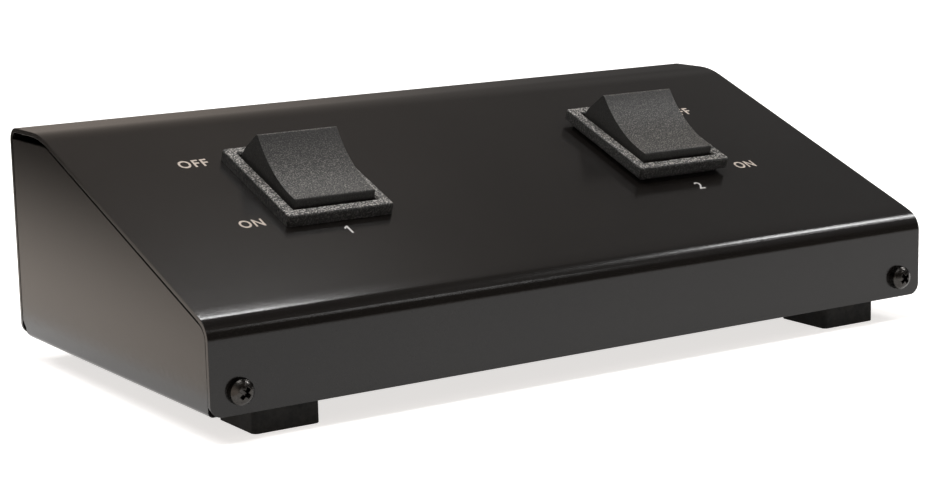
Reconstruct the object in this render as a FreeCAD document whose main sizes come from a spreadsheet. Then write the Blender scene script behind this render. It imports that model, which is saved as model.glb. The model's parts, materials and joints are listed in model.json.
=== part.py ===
"""Two-way speaker selector switch box: a wedge-fronted sheet-metal case with two rocker switches on its
slope and three push-lever speaker terminal blocks on its rear panel.

Case frame: x to the right, y rearward from the front panel's outer face, z up from the tray's underside.
Switch frame: on the slope's outer face at the bezel's centre, y up the slope, z out of the panel.
Paddle frame: on the rocker's pivot line, z out through the middle of the paddle.
Block frame: on the rear panel's outer face at the block's centre, y outward, z up.
"""
import FreeCAD, Part
import math
import os
import re

import Sketcher
from FreeCAD import Placement, Rotation, Vector

SIZES = [
    # case
    ("case_width", 184, "over both side panels"),
    ("case_depth", 92.5, "front panel to rear panel"),
    ("top_height", 46.7, "tray underside to ledge"),
    ("nose_height", 18.1, "tray underside to the corner of front and slope"),
    ("ledge_depth", 16.5, "level strip behind the slope"),
    ("sheet", 1.0, "steel sheet"),
    ("nose_radius", 4.75, "outer bend, front to slope"),
    ("ledge_radius", 22, "outer bend, slope to ledge"),
    ("rear_radius", 3.2, "outer bend, ledge to rear"),
    ("flange_corner", 2.5, "rounding of the cover's lower corners"),
    ("tray_bend", 2, "outer bend, floor to sides and lips"),
    ("tray_gap", 0.4, "side panel's end to the cover's flange"),
    ("side_gap", 0.55, "side panel's top edge to the slope's inner face"),
    ("side_top", 44.1, "height of the side panel's level stretch"),
    ("side_cut", 3.5, "side panel's cut lower rear corner"),
    ("lip_height", 10, "tray lips behind the cover's flanges"),
    ("lip_relief", 2.6, "side panel's outside to the lip's end"),
    ("lip_gap", 0.1, "lip's outside to the cover's inside"),
    # feet
    ("foot_side", 15, "square foot"),
    ("foot_height", 5.6, "rubber foot"),
    ("foot_corner", 1.2, "foot's upright edges"),
    ("foot_inset_side", 10.8, "case side to foot"),
    ("foot_inset_end", 3.5, "front or rear panel to foot"),
    # cover screws
    ("screw_inset", 6.4, "case side to screw"),
    ("screw_up", 4.6, "tray underside to screw"),
    ("screw_shank", 2.9, "cover screw's shank"),
    ("screw_length", 6, "cover screw under its head"),
    ("screw_head", 5.5, "cover screw's pan head"),
    ("screw_head_height", 2.4, "cover screw's pan head"),
    ("screw_clearance", 0.4, "added to the shank for the cover's hole"),
    ("screw_play", 0.1, "added to the shank for the lip's hole"),
    ("head_taper", 0.7, "of a pan head's radius, at its top"),
    ("recess_span", 3.1, "cross recess, end to end"),
    ("recess_turn", 45, "degrees, how the cross recesses happen to stand"),
    ("recess_slot", 0.8, "cross recess, slot width"),
    ("recess_depth", 1.3, "cross recess"),
    # rocker switches
    ("switch_1_aside", 45.5, "middle of the box to switch 1"),
    ("switch_2_aside", 44.8, "middle of the box to switch 2"),
    ("switch_1_run", 46.6, "nose corner to bezel 1's centre, up the slope"),
    ("switch_2_run", 45.7, "nose corner to bezel 2's centre, up the slope"),
    ("switch_2_lift", 1.2, "switch 2 isn't quite home: it stands this far off the panel"),
    ("mouth_width", 20.2, "bezel's opening across the box"),
    ("mouth_length", 25.6, "bezel's opening up the slope"),
    ("mouth_edge", 0.4, "bevel round the opening"),
    ("rim_side", 2.65, "bezel's rim beside the opening"),
    ("rim_end", 2.7, "bezel's rim at the opening's ends"),
    ("bezel_height", 2.6, "bezel above the panel"),
    ("bezel_edge", 0.5, "bezel's rounded outer edge"),
    ("bezel_corner", 0.6, "bezel's corners in plan"),
    ("barrel_side", 0.85, "barrel's walls beside the paddle"),
    ("barrel_end", 1.1, "barrel's walls at the paddle's ends"),
    ("barrel_depth", 16, "panel's outer face to the barrel's end"),
    ("barrel_floor", 2.5, "barrel's floor"),
    ("cutout_gap", 0.15, "panel cut-out around the barrel"),
    ("ear_reach", 0.6, "snap ear beyond the cut-out"),
    ("ear_width", 8, "snap ear"),
    ("ear_length", 4.5, "snap ear below the panel"),
    ("ear_gap", 0.2, "snap ear to the panel's inner face"),
    ("pivot_depth", 1, "panel's outer face to the pivot line"),
    ("pivot_pin", 3, "paddle's pivot pins"),
    ("pivot_bite", 0.5, "pivot pin into the barrel's wall"),
    ("pin_play", 0.08, "all round, for pins in their holes"),
    ("paddle_tilt", 17, "degrees either side of level"),
    ("paddle_end_gap", 0.35, "paddle's round lower ends to the opening"),
    ("paddle_side_gap", 0.4, "paddle's sides to the opening"),
    ("crest_radius", 13.1, "pivot line to the crest edges"),
    ("crest_angle", 41, "degrees up from level to the crest edges"),
    ("crest_round", 0.5, "rounding along the crest edges"),
    ("shoulder_angle", 10, "degrees up from level to where the flat end faces turn round"),
    ("paddle_hollow", 27.5, "radius of the paddle's hollow top"),
    ("paddle_skirt", 2.5, "paddle below its pivot line"),
    ("paddle_wall", 1.6, "paddle's end walls and sides"),
    ("hollow_top", 4, "pivot line to the roof of the paddle's recesses"),
    ("stem_length", 4.5, "pivot line to the plunger boss's end"),
    ("stem_thick", 6, "plunger boss up the slope"),
    ("pole_pitch", 10, "between the two poles of a switch"),
    ("plunger_diameter", 3.2, "plunger"),
    ("plunger_play", 0.1, "all round, plunger in its bore"),
    ("plunger_tip", 7, "pivot line to the plunger's tip"),
    ("plunger_top", 1.5, "pivot line to the plunger's upper end, below"),
    ("bore_top", 4.6, "pivot line to the bore's roof, above"),
    ("spring_wire", 0.4, "plunger spring"),
    ("spring_play", 0.15, "plunger spring in its bore"),
    ("spring_turns", 3, "plunger spring"),
    ("seesaw_gap", 0.15, "plunger tip to the level seesaw"),
    ("seesaw_angle", 7, "degrees, the seesaw's wings rise"),
    ("seesaw_tilt", 6, "degrees either side of level"),
    ("seesaw_thick", 0.6, "seesaw contact"),
    ("seesaw_width", 4, "seesaw contact"),
    ("seesaw_half", 9, "pivot to the seesaw's end"),
    ("contact_reach", 8, "pivot to the contact pad"),
    ("contact_width", 2.4, "square contact pad"),
    ("contact_height", 0.6, "contact pad"),
    ("contact_gap", 0.1, "between pieces that touch and move"),
    ("blade_width", 4.8, "terminal blade"),
    ("blade_thick", 0.8, "terminal blade"),
    ("blade_reach", 8, "terminal blade below the barrel"),
    ("eye_width", 1.6, "terminal blade's eye"),
    ("eye_length", 2.4, "terminal blade's eye"),
    # how pieces of one body are joined and cut
    ("bite", 0.1, "padded pieces of one body run into each other by this"),
    ("past", 1, "cuts run past the material by this"),
    # rear terminal blocks
    ("block_pitch", 59.5, "between terminal blocks"),
    ("block_up", 24, "tray underside to the block's centre"),
    ("flange_length", 58, "block's flange"),
    ("flange_height", 24, "block's flange"),
    ("flange_thick", 2, "block's flange outside the panel"),
    ("flange_round", 2, "block flange's corners"),
    ("body_length", 44, "block's body through the panel"),
    ("body_height", 19, "block's body through the panel"),
    ("body_depth", 13, "block's body inside the panel"),
    ("body_gap", 0.3, "panel cut-out around the body"),
    ("face_wall", 2, "block's front wall inside the panel"),
    ("cell_pitch", 10, "between levers"),
    ("cell_width", 7.4, "lever's cell"),
    ("cell_low", 8, "block's centre to the cell's floor"),
    ("cell_high", 8.3, "block's centre to the cell's roof"),
    ("window_low", 1, "block's centre down to the window's sill"),
    ("entry_width", 4.2, "oblong wire entry"),
    ("entry_height", 3.2, "wire entry"),
    ("entry_round", 1.5, "wire entry's corners"),
    ("entry_down", 5.2, "block's centre down to the wire entry"),
    ("entry_flare", 0.8, "funnel round the wire entry"),
    ("lever_width", 6.8, "push lever"),
    ("lever_reach", 6, "lever's tab outside the panel"),
    ("axle_in", 3.5, "panel's outer face to the lever axle"),
    ("axle_up", 0.5, "block's centre to the lever axle"),
    ("axle_diameter", 1.5, "lever axle"),
    ("axle_play", 0.06, "all round, lever on its axle"),
    ("axle_fit", 0.01, "all round, axle in the block"),
    ("hub_radius", 1.2, "lever round its axle"),
    ("hub_round", 0.9, "rounding under the hub, of its radius"),
    ("back_lean", 0.5, "lever's inner top leans forward of the axle"),
    ("tab_low", 0.4, "axle up to the tab's lower edge"),
    ("tab_high", 5.2, "axle up to the tab's upper edge"),
    ("tab_rise", 0.7, "tab's top rises this much toward the panel"),
    ("tab_start", 1.6, "panel's outer face to the start of the tab's top"),
    ("tab_round", 1.2, "tab's upper front edge"),
    ("lever_back", 7.2, "axle up to the lever's inner top"),
    ("heel_reach", 4, "axle to the heel that lifts the spring"),
    ("heel_up", 0.8, "axle up to the heel's underside"),
    ("heel_thick", 1.2, "heel"),
    ("strip_thick", 0.5, "spring contact strip"),
    ("strip_width", 4, "spring contact strip"),
    ("strip_window", 2.6, "square hole in the strip's upright for the wire"),
    ("strip_bend", 0.9, "spring contact's outer bends"),
    ("strip_gap", 0.3, "spring contact off the cell's floor"),
    ("strip_front", 4, "panel's outer face to the spring contact's front"),
    ("strip_high", 0.9, "block's centre down to the spring contact's top"),
    ("strip_back", 10, "panel's outer face to the spring's free end"),
    ("tag_reach", 5, "solder tag behind the block"),
    # wires
    ("wire_diameter", 1.6, "insulated wire"),
    ("wire_bend", 2.4, "centre line of the wires' bends"),
    ("wire_gap", 0.05, "wire to the terminal that it is soldered to"),
    ("wire_lap", 2.5, "wire along its terminal"),
    ("wire_pair", 1.8, "between two wires on one tag"),
    ("link_height", 8.5, "tray underside to the links between the switches"),
    ("link_rise", 6, "link wires up along the centre blades"),
    ("under_height", 10.5, "lowest point of the wire that passes under a blade"),
    ("return_lane", 5.8, "forward along the tags to the first return wires"),
    ("return_drop", 3.5, "from the first return wires down to the second"),
    ("block_screw_pitch", 51, "between a block's fixing screws"),
    ("block_screw_shank", 2.5, "block screw"),
    ("block_screw_length", 6, "block screw under its head"),
    ("block_screw_head", 4.6, "block screw's pan head"),
    ("block_screw_head_height", 1.7, "block screw's pan head"),
]

RULES = {
    "slope": "(atan2(top_height - nose_height; case_depth - ledge_depth) / (1 deg))",
    "case_y": "-(case_depth + lever_reach - screw_head_height) / 2",
    "case_z": "foot_height",
    "bezel_width": "mouth_width + 2 * rim_side",
    "bezel_length": "mouth_length + 2 * rim_end",
    "barrel_width": "mouth_width + 2 * barrel_side",
    "barrel_length": "mouth_length + 2 * barrel_end",
    "paddle_radius": "mouth_length / 2 - paddle_end_gap",
    "paddle_width": "mouth_width - 2 * paddle_side_gap",
    "pivot_reach": "paddle_side_gap + pivot_bite",
    "cutout_width": "barrel_width + 2 * cutout_gap",
    "cutout_length": "barrel_length + 2 * cutout_gap",
    "crest_y": "crest_radius * cos(crest_angle)",
    "crest_z": "crest_radius * sin(crest_angle)",
    "shoulder_y": "paddle_radius * cos(shoulder_angle)",
    "shoulder_z": "paddle_radius * sin(shoulder_angle)",
    "seesaw_z": "-(plunger_tip + seesaw_gap)",
    "seesaw_under": "seesaw_z - seesaw_thick / cos(seesaw_angle)",
    "pad_z": "seesaw_under + contact_reach * tan(seesaw_angle - seesaw_tilt) - contact_height - contact_gap",
    "barrel_under": "pivot_depth - barrel_depth",
    "blade_end": "barrel_under - blade_reach",
    "block_y": "case_y + case_depth",
    "block_z": "case_z + block_up",
}

# Where each side's switch sits: x and the way up the slope.
SWITCH_PLACES = {
    "-": ("-switch_1_aside", "switch_1_run"),
    "+": ("switch_2_aside", "switch_2_run"),
}

doc = FreeCAD.newDocument("SpeakerSelector")
sheet = doc.addObject("Spreadsheet::Sheet", "Sizes")
for row, (alias, number, note) in enumerate(SIZES, start=1):
    sheet.set("A%d" % row, note)
    sheet.set("B%d" % row, str(number))
    sheet.setAlias("B%d" % row, alias)
doc.recompute()
NAMES = {alias for alias, number, note in SIZES}
NODES = []
VOLUME_ERROR = 0.01
LEAST_CUT = 1e-3


# ---- rules, sketches and features ----

def formula(rule):
    """A rule written with size names, as an expression on the sheet."""
    def swap(match):
        word = match.group(0)
        if word in RULES:
            return "(" + formula(RULES[word]) + ")"
        return "Sizes." + word if word in NAMES else word
    return re.sub(r"[a-z][a-z0-9_]*", swap, str(rule))


def value(rule):
    """The number that a rule gives now."""
    result = sheet.evalExpression(formula(rule))
    return float(getattr(result, "Value", result))


def bind(thing, **rules):
    """Bind properties of an object to rules; a double underscore stands for a dot."""
    for name, rule in rules.items():
        thing.setExpression(name.replace("__", "."), formula(rule))


def place(thing, x, y, z, angle=None):
    """Put a finished piece at x, y, z, turned about X by a rule, and count it as a node."""
    if angle is not None:
        thing.Placement = Placement(Vector(), Rotation(Vector(1, 0, 0), value(angle)))
        bind(thing, Placement__Rotation__Angle=angle)
    bind(thing, Placement__Base__x=x, Placement__Base__y=y, Placement__Base__z=z)
    NODES.append(thing)


def new_body(label, x="0", y="case_y", z="case_z", angle=None):
    """A body with its own label, at x, y, z and turned about X."""
    body = doc.addObject("PartDesign::Body", label)
    body.Label = label
    body.AllowCompound = True
    place(body, x, y, z, angle)
    return body


def new_sketch(body, plane, at="0", tilt=None, shift=None, turn=None):
    """A sketch on one of the body's planes, moved along the plane's positive axis and turned in its plane.

    With tilt and shift the sketch is turned about X and moved to shift = (y, z) instead."""
    sketch = body.newObject("Sketcher::SketchObject", "Outline")
    support = [item for item in body.Origin.OriginFeatures if item.Role == plane + "_Plane"][0]
    sketch.AttachmentSupport = [(support, "")]
    sketch.MapMode = "FlatFace"
    if tilt is not None:
        sketch.AttachmentOffset = Placement(Vector(), Rotation(Vector(1, 0, 0), value(tilt)))
        bind(sketch, AttachmentOffset__Base__y=shift[0], AttachmentOffset__Base__z=shift[1],
             AttachmentOffset__Rotation__Angle=tilt)
    else:
        sign = "-" if plane == "XZ" else ""
        if turn is not None:
            sketch.AttachmentOffset = Placement(Vector(), Rotation(Vector(0, 0, 1), value(turn)))
            bind(sketch, AttachmentOffset__Rotation__Angle=turn)
        bind(sketch, AttachmentOffset__Base__z="%s(%s)" % (sign, at))
    return sketch


def hold_point(sketch, geometry, end, x, y):
    """Tie a sketch point to x and y rules."""
    for kind, rule in (("DistanceX", x), ("DistanceY", y)):
        index = sketch.addConstraint(Sketcher.Constraint(kind, -1, 1, geometry, end, value(rule)))
        sketch.setExpression("Constraints[%d]" % index, formula(rule))


def hold_radius(sketch, geometry, rule):
    """Tie a sketch arc's or circle's radius to a rule."""
    index = sketch.addConstraint(Sketcher.Constraint("Radius", geometry, value(rule)))
    sketch.setExpression("Constraints[%d]" % index, formula(rule))


def draw_arc(sketch, start, end, centre):
    """An arc the short way round; gives its index and the ends that lie at start and end."""
    first = math.atan2(start.y - centre.y, start.x - centre.x)
    last = math.atan2(end.y - centre.y, end.x - centre.x)
    circle = Part.Circle(centre, Vector(0, 0, 1), start.distanceToPoint(centre))
    if (last - first) % (2 * math.pi) < math.pi:
        return sketch.addGeometry(Part.ArcOfCircle(circle, first, last)), 1, 2
    return sketch.addGeometry(Part.ArcOfCircle(circle, last, first)), 2, 1


def draw_outline(sketch, corners):
    """A closed outline through corners (x, y) or (x, y, radius of the rounded corner)."""
    points = [Vector(value(corner[0]), value(corner[1]), 0) for corner in corners]
    count = len(points)
    starts = list(points)
    ends = list(points)
    centres = [None] * count
    for i, corner in enumerate(corners):
        if len(corner) < 3:
            continue
        before = (points[i - 1] - points[i]).normalize()
        after = (points[(i + 1) % count] - points[i]).normalize()
        half = before.getAngle(after) / 2
        radius = value(corner[2])
        ends[i] = points[i] + before * (radius / math.tan(half))
        starts[i] = points[i] + after * (radius / math.tan(half))
        centres[i] = points[i] + (before + after).normalize() * (radius / math.sin(half))
    lines = [sketch.addGeometry(Part.LineSegment(starts[i], ends[(i + 1) % count])) for i in range(count)]
    for i, corner in enumerate(corners):
        into, out = lines[i - 1], lines[i]
        if centres[i] is None:
            sketch.addConstraint(Sketcher.Constraint("Coincident", into, 2, out, 1))
            hold_point(sketch, out, 1, corner[0], corner[1])
            continue
        arc, near, far = draw_arc(sketch, ends[i], starts[i], centres[i])
        tip = sketch.addGeometry(Part.Point(points[i]), True)
        sketch.addConstraint(Sketcher.Constraint("Tangent", into, 2, arc, near))
        sketch.addConstraint(Sketcher.Constraint("Tangent", out, 1, arc, far))
        sketch.addConstraint(Sketcher.Constraint("PointOnObject", tip, 1, into))
        sketch.addConstraint(Sketcher.Constraint("PointOnObject", tip, 1, out))
        hold_point(sketch, tip, 1, corner[0], corner[1])
        hold_radius(sketch, arc, corner[2])


def draw_box(sketch, x, y, width, height, corner=None):
    """A rectangle about its centre x, y."""
    sides = [("-", "-"), ("+", "-"), ("+", "+"), ("-", "+")]
    rounding = () if corner is None else (corner,)
    draw_outline(sketch, [("(%s) %s (%s) / 2" % (x, a, width), "(%s) %s (%s) / 2" % (y, b, height)) + rounding
                          for a, b in sides])


def draw_circle(sketch, x, y, radius):
    """A circle about x, y."""
    centre = Vector(value(x), value(y), 0)
    circle = sketch.addGeometry(Part.Circle(centre, Vector(0, 0, 1), value(radius)))
    hold_point(sketch, circle, 3, x, y)
    hold_radius(sketch, circle, radius)


def pad(body, sketch, length, symmetric=False):
    """Add material from the sketch along the plane's positive axis, or both ways."""
    feature = body.newObject("PartDesign::Pad", "Pad")
    feature.Profile = sketch
    feature.SideType = "Symmetric" if symmetric else "One side"
    feature.Reversed = is_backward(sketch)
    bind(feature, Length=length)
    doc.recompute()
    return feature


def pocket(body, sketch, length, symmetric=False):
    """Cut from the sketch along the plane's positive axis, or both ways."""
    feature = body.newObject("PartDesign::Pocket", "Pocket")
    feature.Profile = sketch
    feature.SideType = "Symmetric" if symmetric else "One side"
    feature.Reversed = not is_backward(sketch)
    bind(feature, Length=length)
    doc.recompute()
    return feature


def is_backward(sketch):
    """Whether the sketch's own normal runs against its plane's positive axis."""
    return sketch.AttachmentSupport[0][0].Role == "XZ_Plane"


def revolve(body, sketch, axis):
    """Turn the sketch all round one of the body's axes."""
    feature = body.newObject("PartDesign::Revolution", "Revolution")
    feature.Profile = sketch
    line = [item for item in body.Origin.OriginFeatures if item.Role == axis + "_Axis"][0]
    feature.ReferenceAxis = (line, [""])
    feature.Angle = 360
    doc.recompute()
    return feature


def pick_edges(feature, wanted):
    """Names of the feature's edges whose two ends pass a test."""
    names = []
    for number, edge in enumerate(feature.Shape.Edges, start=1):
        if len(edge.Vertexes) == 2 and wanted(edge.Vertexes[0].Point, edge.Vertexes[1].Point):
            names.append("Edge%d" % number)
    return names


def dress(body, kind, base, edges, size):
    """A Fillet or Chamfer on picked edges."""
    feature = body.newObject("PartDesign::" + kind, kind)
    feature.Base = (base, edges)
    bind(feature, **{"Radius" if kind == "Fillet" else "Size": size})
    doc.recompute()
    return feature


def same(a, b):
    return abs(a - b) < 1e-4


# ---- case ----

def cover():
    """One bent sheet: front flange, nose, slope, ledge, rear bend and rear panel, with its cut-outs."""
    body = new_body("top_cover")
    inner_nose = "nose_height + sheet * tan(slope) - sheet / cos(slope)"
    inner_ledge = "(top_height - sheet - nose_height + sheet / cos(slope)) / tan(slope)"
    profile = new_sketch(body, "YZ")
    draw_outline(profile, [
        ("0", "0"),
        ("0", "nose_height", "nose_radius"),
        ("case_depth - ledge_depth", "top_height", "ledge_radius"),
        ("case_depth", "top_height", "rear_radius"),
        ("case_depth", "0"),
        ("case_depth - sheet", "0"),
        ("case_depth - sheet", "top_height - sheet", "rear_radius - sheet"),
        (inner_ledge, "top_height - sheet", "ledge_radius - sheet"),
        ("sheet", inner_nose, "nose_radius - sheet"),
        ("sheet", "0"),
    ])
    bent = pad(body, profile, "case_width", symmetric=True)
    half = value("case_width / 2")
    lower = pick_edges(bent, lambda p, q: same(p.z, 0) and same(q.z, 0) and same(p.x, q.x)
                       and same(abs(p.x), half))
    dress(body, "Fillet", bent, lower, "flange_corner")

    slots = new_sketch(body, "XY", tilt="slope", shift=("0", "nose_height"))
    for x, run in SWITCH_PLACES.values():
        draw_box(slots, x, run, "cutout_width", "cutout_length")
    pocket(body, slots, "4 * sheet", symmetric=True)

    front = new_sketch(body, "XZ", at="-sheet")
    rear = new_sketch(body, "XZ", at="case_depth - 2 * sheet")
    for side in ("-", "+"):
        for panel in (front, rear):
            draw_circle(panel, side + "(case_width / 2 - screw_inset)", "screw_up",
                        "(screw_shank + screw_clearance) / 2")
    for block in (-1, 0, 1):
        middle = "%d * block_pitch" % block
        draw_box(rear, middle, "block_up", "body_length + 2 * body_gap", "body_height + 2 * body_gap")
        for side in ("-", "+"):
            draw_circle(rear, "%s %s block_screw_pitch / 2" % (middle, side), "block_up",
                        "(block_screw_shank + screw_play) / 2")
    pocket(body, front, "3 * sheet")
    pocket(body, rear, "3 * sheet")


def tray():
    """Floor and side panels in one bent sheet, with a lip at each end that takes the cover's screws."""
    body = new_body("base_tray")
    section = new_sketch(body, "XZ", at="sheet + tray_gap")
    half = "case_width / 2"
    draw_outline(section, [
        ("-" + half, "0", "tray_bend"),
        (half, "0", "tray_bend"),
        (half, "top_height"),
        (half + " - sheet", "top_height"),
        (half + " - sheet", "sheet", "tray_bend - sheet"),
        ("-" + half + " + sheet", "sheet", "tray_bend - sheet"),
        ("-" + half + " + sheet", "top_height"),
        ("-" + half, "top_height"),
    ])
    pad(body, section, "case_depth - 2 * (sheet + tray_gap)")

    drop = "(sheet + side_gap) / cos(slope)"
    level_y = "(side_top - nose_height + %s) / tan(slope)" % drop
    front_y = "sheet + tray_gap"
    front_z = "nose_height + (%s) * tan(slope) - %s - nose_radius / 3" % (front_y, drop)
    meet_y = "nose_radius"
    meet_z = "nose_height + nose_radius * tan(slope) - %s" % drop
    above = new_sketch(body, "YZ")
    draw_outline(above, [
        ("0", front_z),
        (front_y, front_z),
        (meet_y, meet_z),
        (level_y, "side_top"),
        ("case_depth", "side_top"),
        ("case_depth", "2 * top_height"),
        ("0", "2 * top_height"),
    ])
    pocket(body, above, "2 * case_width", symmetric=True)

    end = "case_depth - sheet - tray_gap"
    corner = new_sketch(body, "YZ")
    draw_outline(corner, [
        (end + " - side_cut", "-sheet"),
        (end + " + side_cut", "-sheet"),
        (end + " + side_cut", "side_cut"),
        (end, "side_cut"),
        (end + " - side_cut", "0"),
    ])
    pocket(body, corner, "2 * case_width", symmetric=True)

    lips = new_sketch(body, "YZ")
    reach = "side_cut + 3 * sheet"
    for outside, toward in (("sheet + lip_gap", "+"), ("case_depth - sheet - lip_gap", "-")):
        draw_outline(lips, [
            ("%s %s (%s)" % (outside, toward, reach), "0"),
            (outside, "0", "tray_bend"),
            (outside, "lip_height"),
            ("%s %s sheet" % (outside, toward), "lip_height"),
            ("%s %s sheet" % (outside, toward), "sheet", "tray_bend - sheet"),
            ("%s %s (%s)" % (outside, toward, reach), "sheet"),
        ])
    pad(body, lips, "case_width - 2 * lip_relief", symmetric=True)

    holes = new_sketch(body, "XZ")
    for side in ("-", "+"):
        draw_circle(holes, side + "(case_width / 2 - screw_inset)", "screw_up",
                    "(screw_shank + screw_play) / 2")
    pocket(body, holes, "case_depth")


def foot(label, side, end):
    """A square rubber foot stuck under the tray."""
    centre_x = "%s(case_width / 2 - foot_inset_side - foot_side / 2)" % side
    inset = "foot_inset_end + foot_side / 2"
    centre_y = "case_y + " + (inset if end == "front" else "case_depth - (%s)" % inset)
    body = new_body(label, x=centre_x, y=centre_y, z="0")
    plan = new_sketch(body, "XY")
    draw_box(plan, "0", "0", "foot_side", "foot_side", "foot_corner")
    pad(body, plan, "foot_height")


def screw(label, x, y, z, toward, prefix, recess):
    """A pan-head screw, with or without its cross recess; toward is +1 when the head faces the rear."""
    body = new_body(label, x=x, y=y, z=z)
    head, high = prefix + "_head / 2", prefix + "_head_height"
    sign = "" if toward > 0 else "-"
    half = new_sketch(body, "YZ")
    draw_outline(half, [
        (sign + "(-%s_length)" % prefix, "0"),
        (sign + "(-%s_length)" % prefix, prefix + "_shank / 2"),
        ("0", prefix + "_shank / 2"),
        ("0", head),
        ("%s%s / 2" % (sign, high), head),
        (sign + high, head + " * head_taper"),
        (sign + high, "0"),
    ])
    revolve(body, half, "Y")
    if not recess:
        return
    start = "%s - recess_depth" % high if toward > 0 else "-%s - recess_depth" % high
    for width, height in (("recess_span", "recess_slot"), ("recess_slot", "recess_span")):
        slot = new_sketch(body, "XZ", at=start, turn="recess_turn")
        draw_box(slot, "0", "0", width, height)
        pocket(body, slot, "2 * recess_depth")


# ---- rocker switches ----

def put_in_switch(thing, side, lift, down="0", angle="slope"):
    """Place a piece in the frame of one switch, down below the panel's outer face and turned to angle."""
    out = "(%s - (%s))" % (lift, down)
    x, run = SWITCH_PLACES[side]
    place(thing, x, "case_y + %s * cos(slope) - %s * sin(slope)" % (run, out),
          "case_z + nose_height + %s * sin(slope) + %s * cos(slope)" % (run, out), angle)


def in_switch(label, side, lift, down="0", angle="slope"):
    """A body in the frame of one switch."""
    body = doc.addObject("PartDesign::Body", label)
    body.Label = label
    body.AllowCompound = True
    put_in_switch(body, side, lift, down, angle)
    return body


def switch_housing(name, side, lift):
    """Bezel and barrel in one moulding, open at the top, with pivot holes, blade slots and snap ears."""
    body = in_switch(name + "_housing", side, lift)
    rim = new_sketch(body, "XY")
    draw_box(rim, "0", "0", "bezel_width", "bezel_length", "bezel_corner")
    frame = pad(body, rim, "bezel_height")
    top = value("bezel_height")
    edges = pick_edges(frame, lambda p, q: same(p.z, top) and same(q.z, top))
    dress(body, "Fillet", frame, edges, "bezel_edge")
    barrel = new_sketch(body, "XY", at="-barrel_depth")
    draw_box(barrel, "0", "0", "barrel_width", "barrel_length")
    pad(body, barrel, "barrel_depth + bezel_height / 2")
    well = new_sketch(body, "XY", at="barrel_floor - barrel_depth")
    draw_box(well, "0", "0", "mouth_width", "mouth_length")
    hollow = pocket(body, well, "barrel_depth + bezel_height")
    reach = value("mouth_length / 2 + bite")
    lip = pick_edges(hollow, lambda p, q: same(p.z, top) and same(q.z, top)
                     and max(abs(p.y), abs(q.y)) < reach)
    dress(body, "Chamfer", hollow, lip, "mouth_edge")

    ear_top = "sheet + ear_gap + " + lift
    ears = new_sketch(body, "YZ")
    for way in ("-", "+"):
        face = way + "barrel_length / 2"
        draw_outline(ears, [
            ("%s %s (cutout_gap + ear_reach)" % (face, way), "-(%s)" % ear_top),
            (face + " - (%sbite)" % way, "-(%s)" % ear_top),
            (face + " - (%sbite)" % way, "-(%s + ear_length)" % ear_top),
        ])
    pad(body, ears, "ear_width", symmetric=True)

    rests = new_sketch(body, "XY", at="barrel_floor - barrel_depth - bite")
    for pole in ("-", "+"):
        draw_box(rests, pole + "pole_pitch / 2", "-contact_reach", "contact_width", "contact_width")
    pad(body, rests, "pad_z - pivot_depth - (barrel_floor - barrel_depth - bite)")

    pivots = new_sketch(body, "YZ")
    draw_circle(pivots, "0", "-pivot_depth", "pivot_pin / 2 + pin_play")
    pocket(body, pivots, "barrel_width", symmetric=True)
    slots = new_sketch(body, "XY", at="-barrel_depth - past")
    for pole in ("-", "+"):
        for row in ("0", "contact_reach"):
            draw_box(slots, pole + "pole_pitch / 2", row, "blade_width", "blade_thick")
    pocket(body, slots, "barrel_floor + past + bite")


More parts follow.
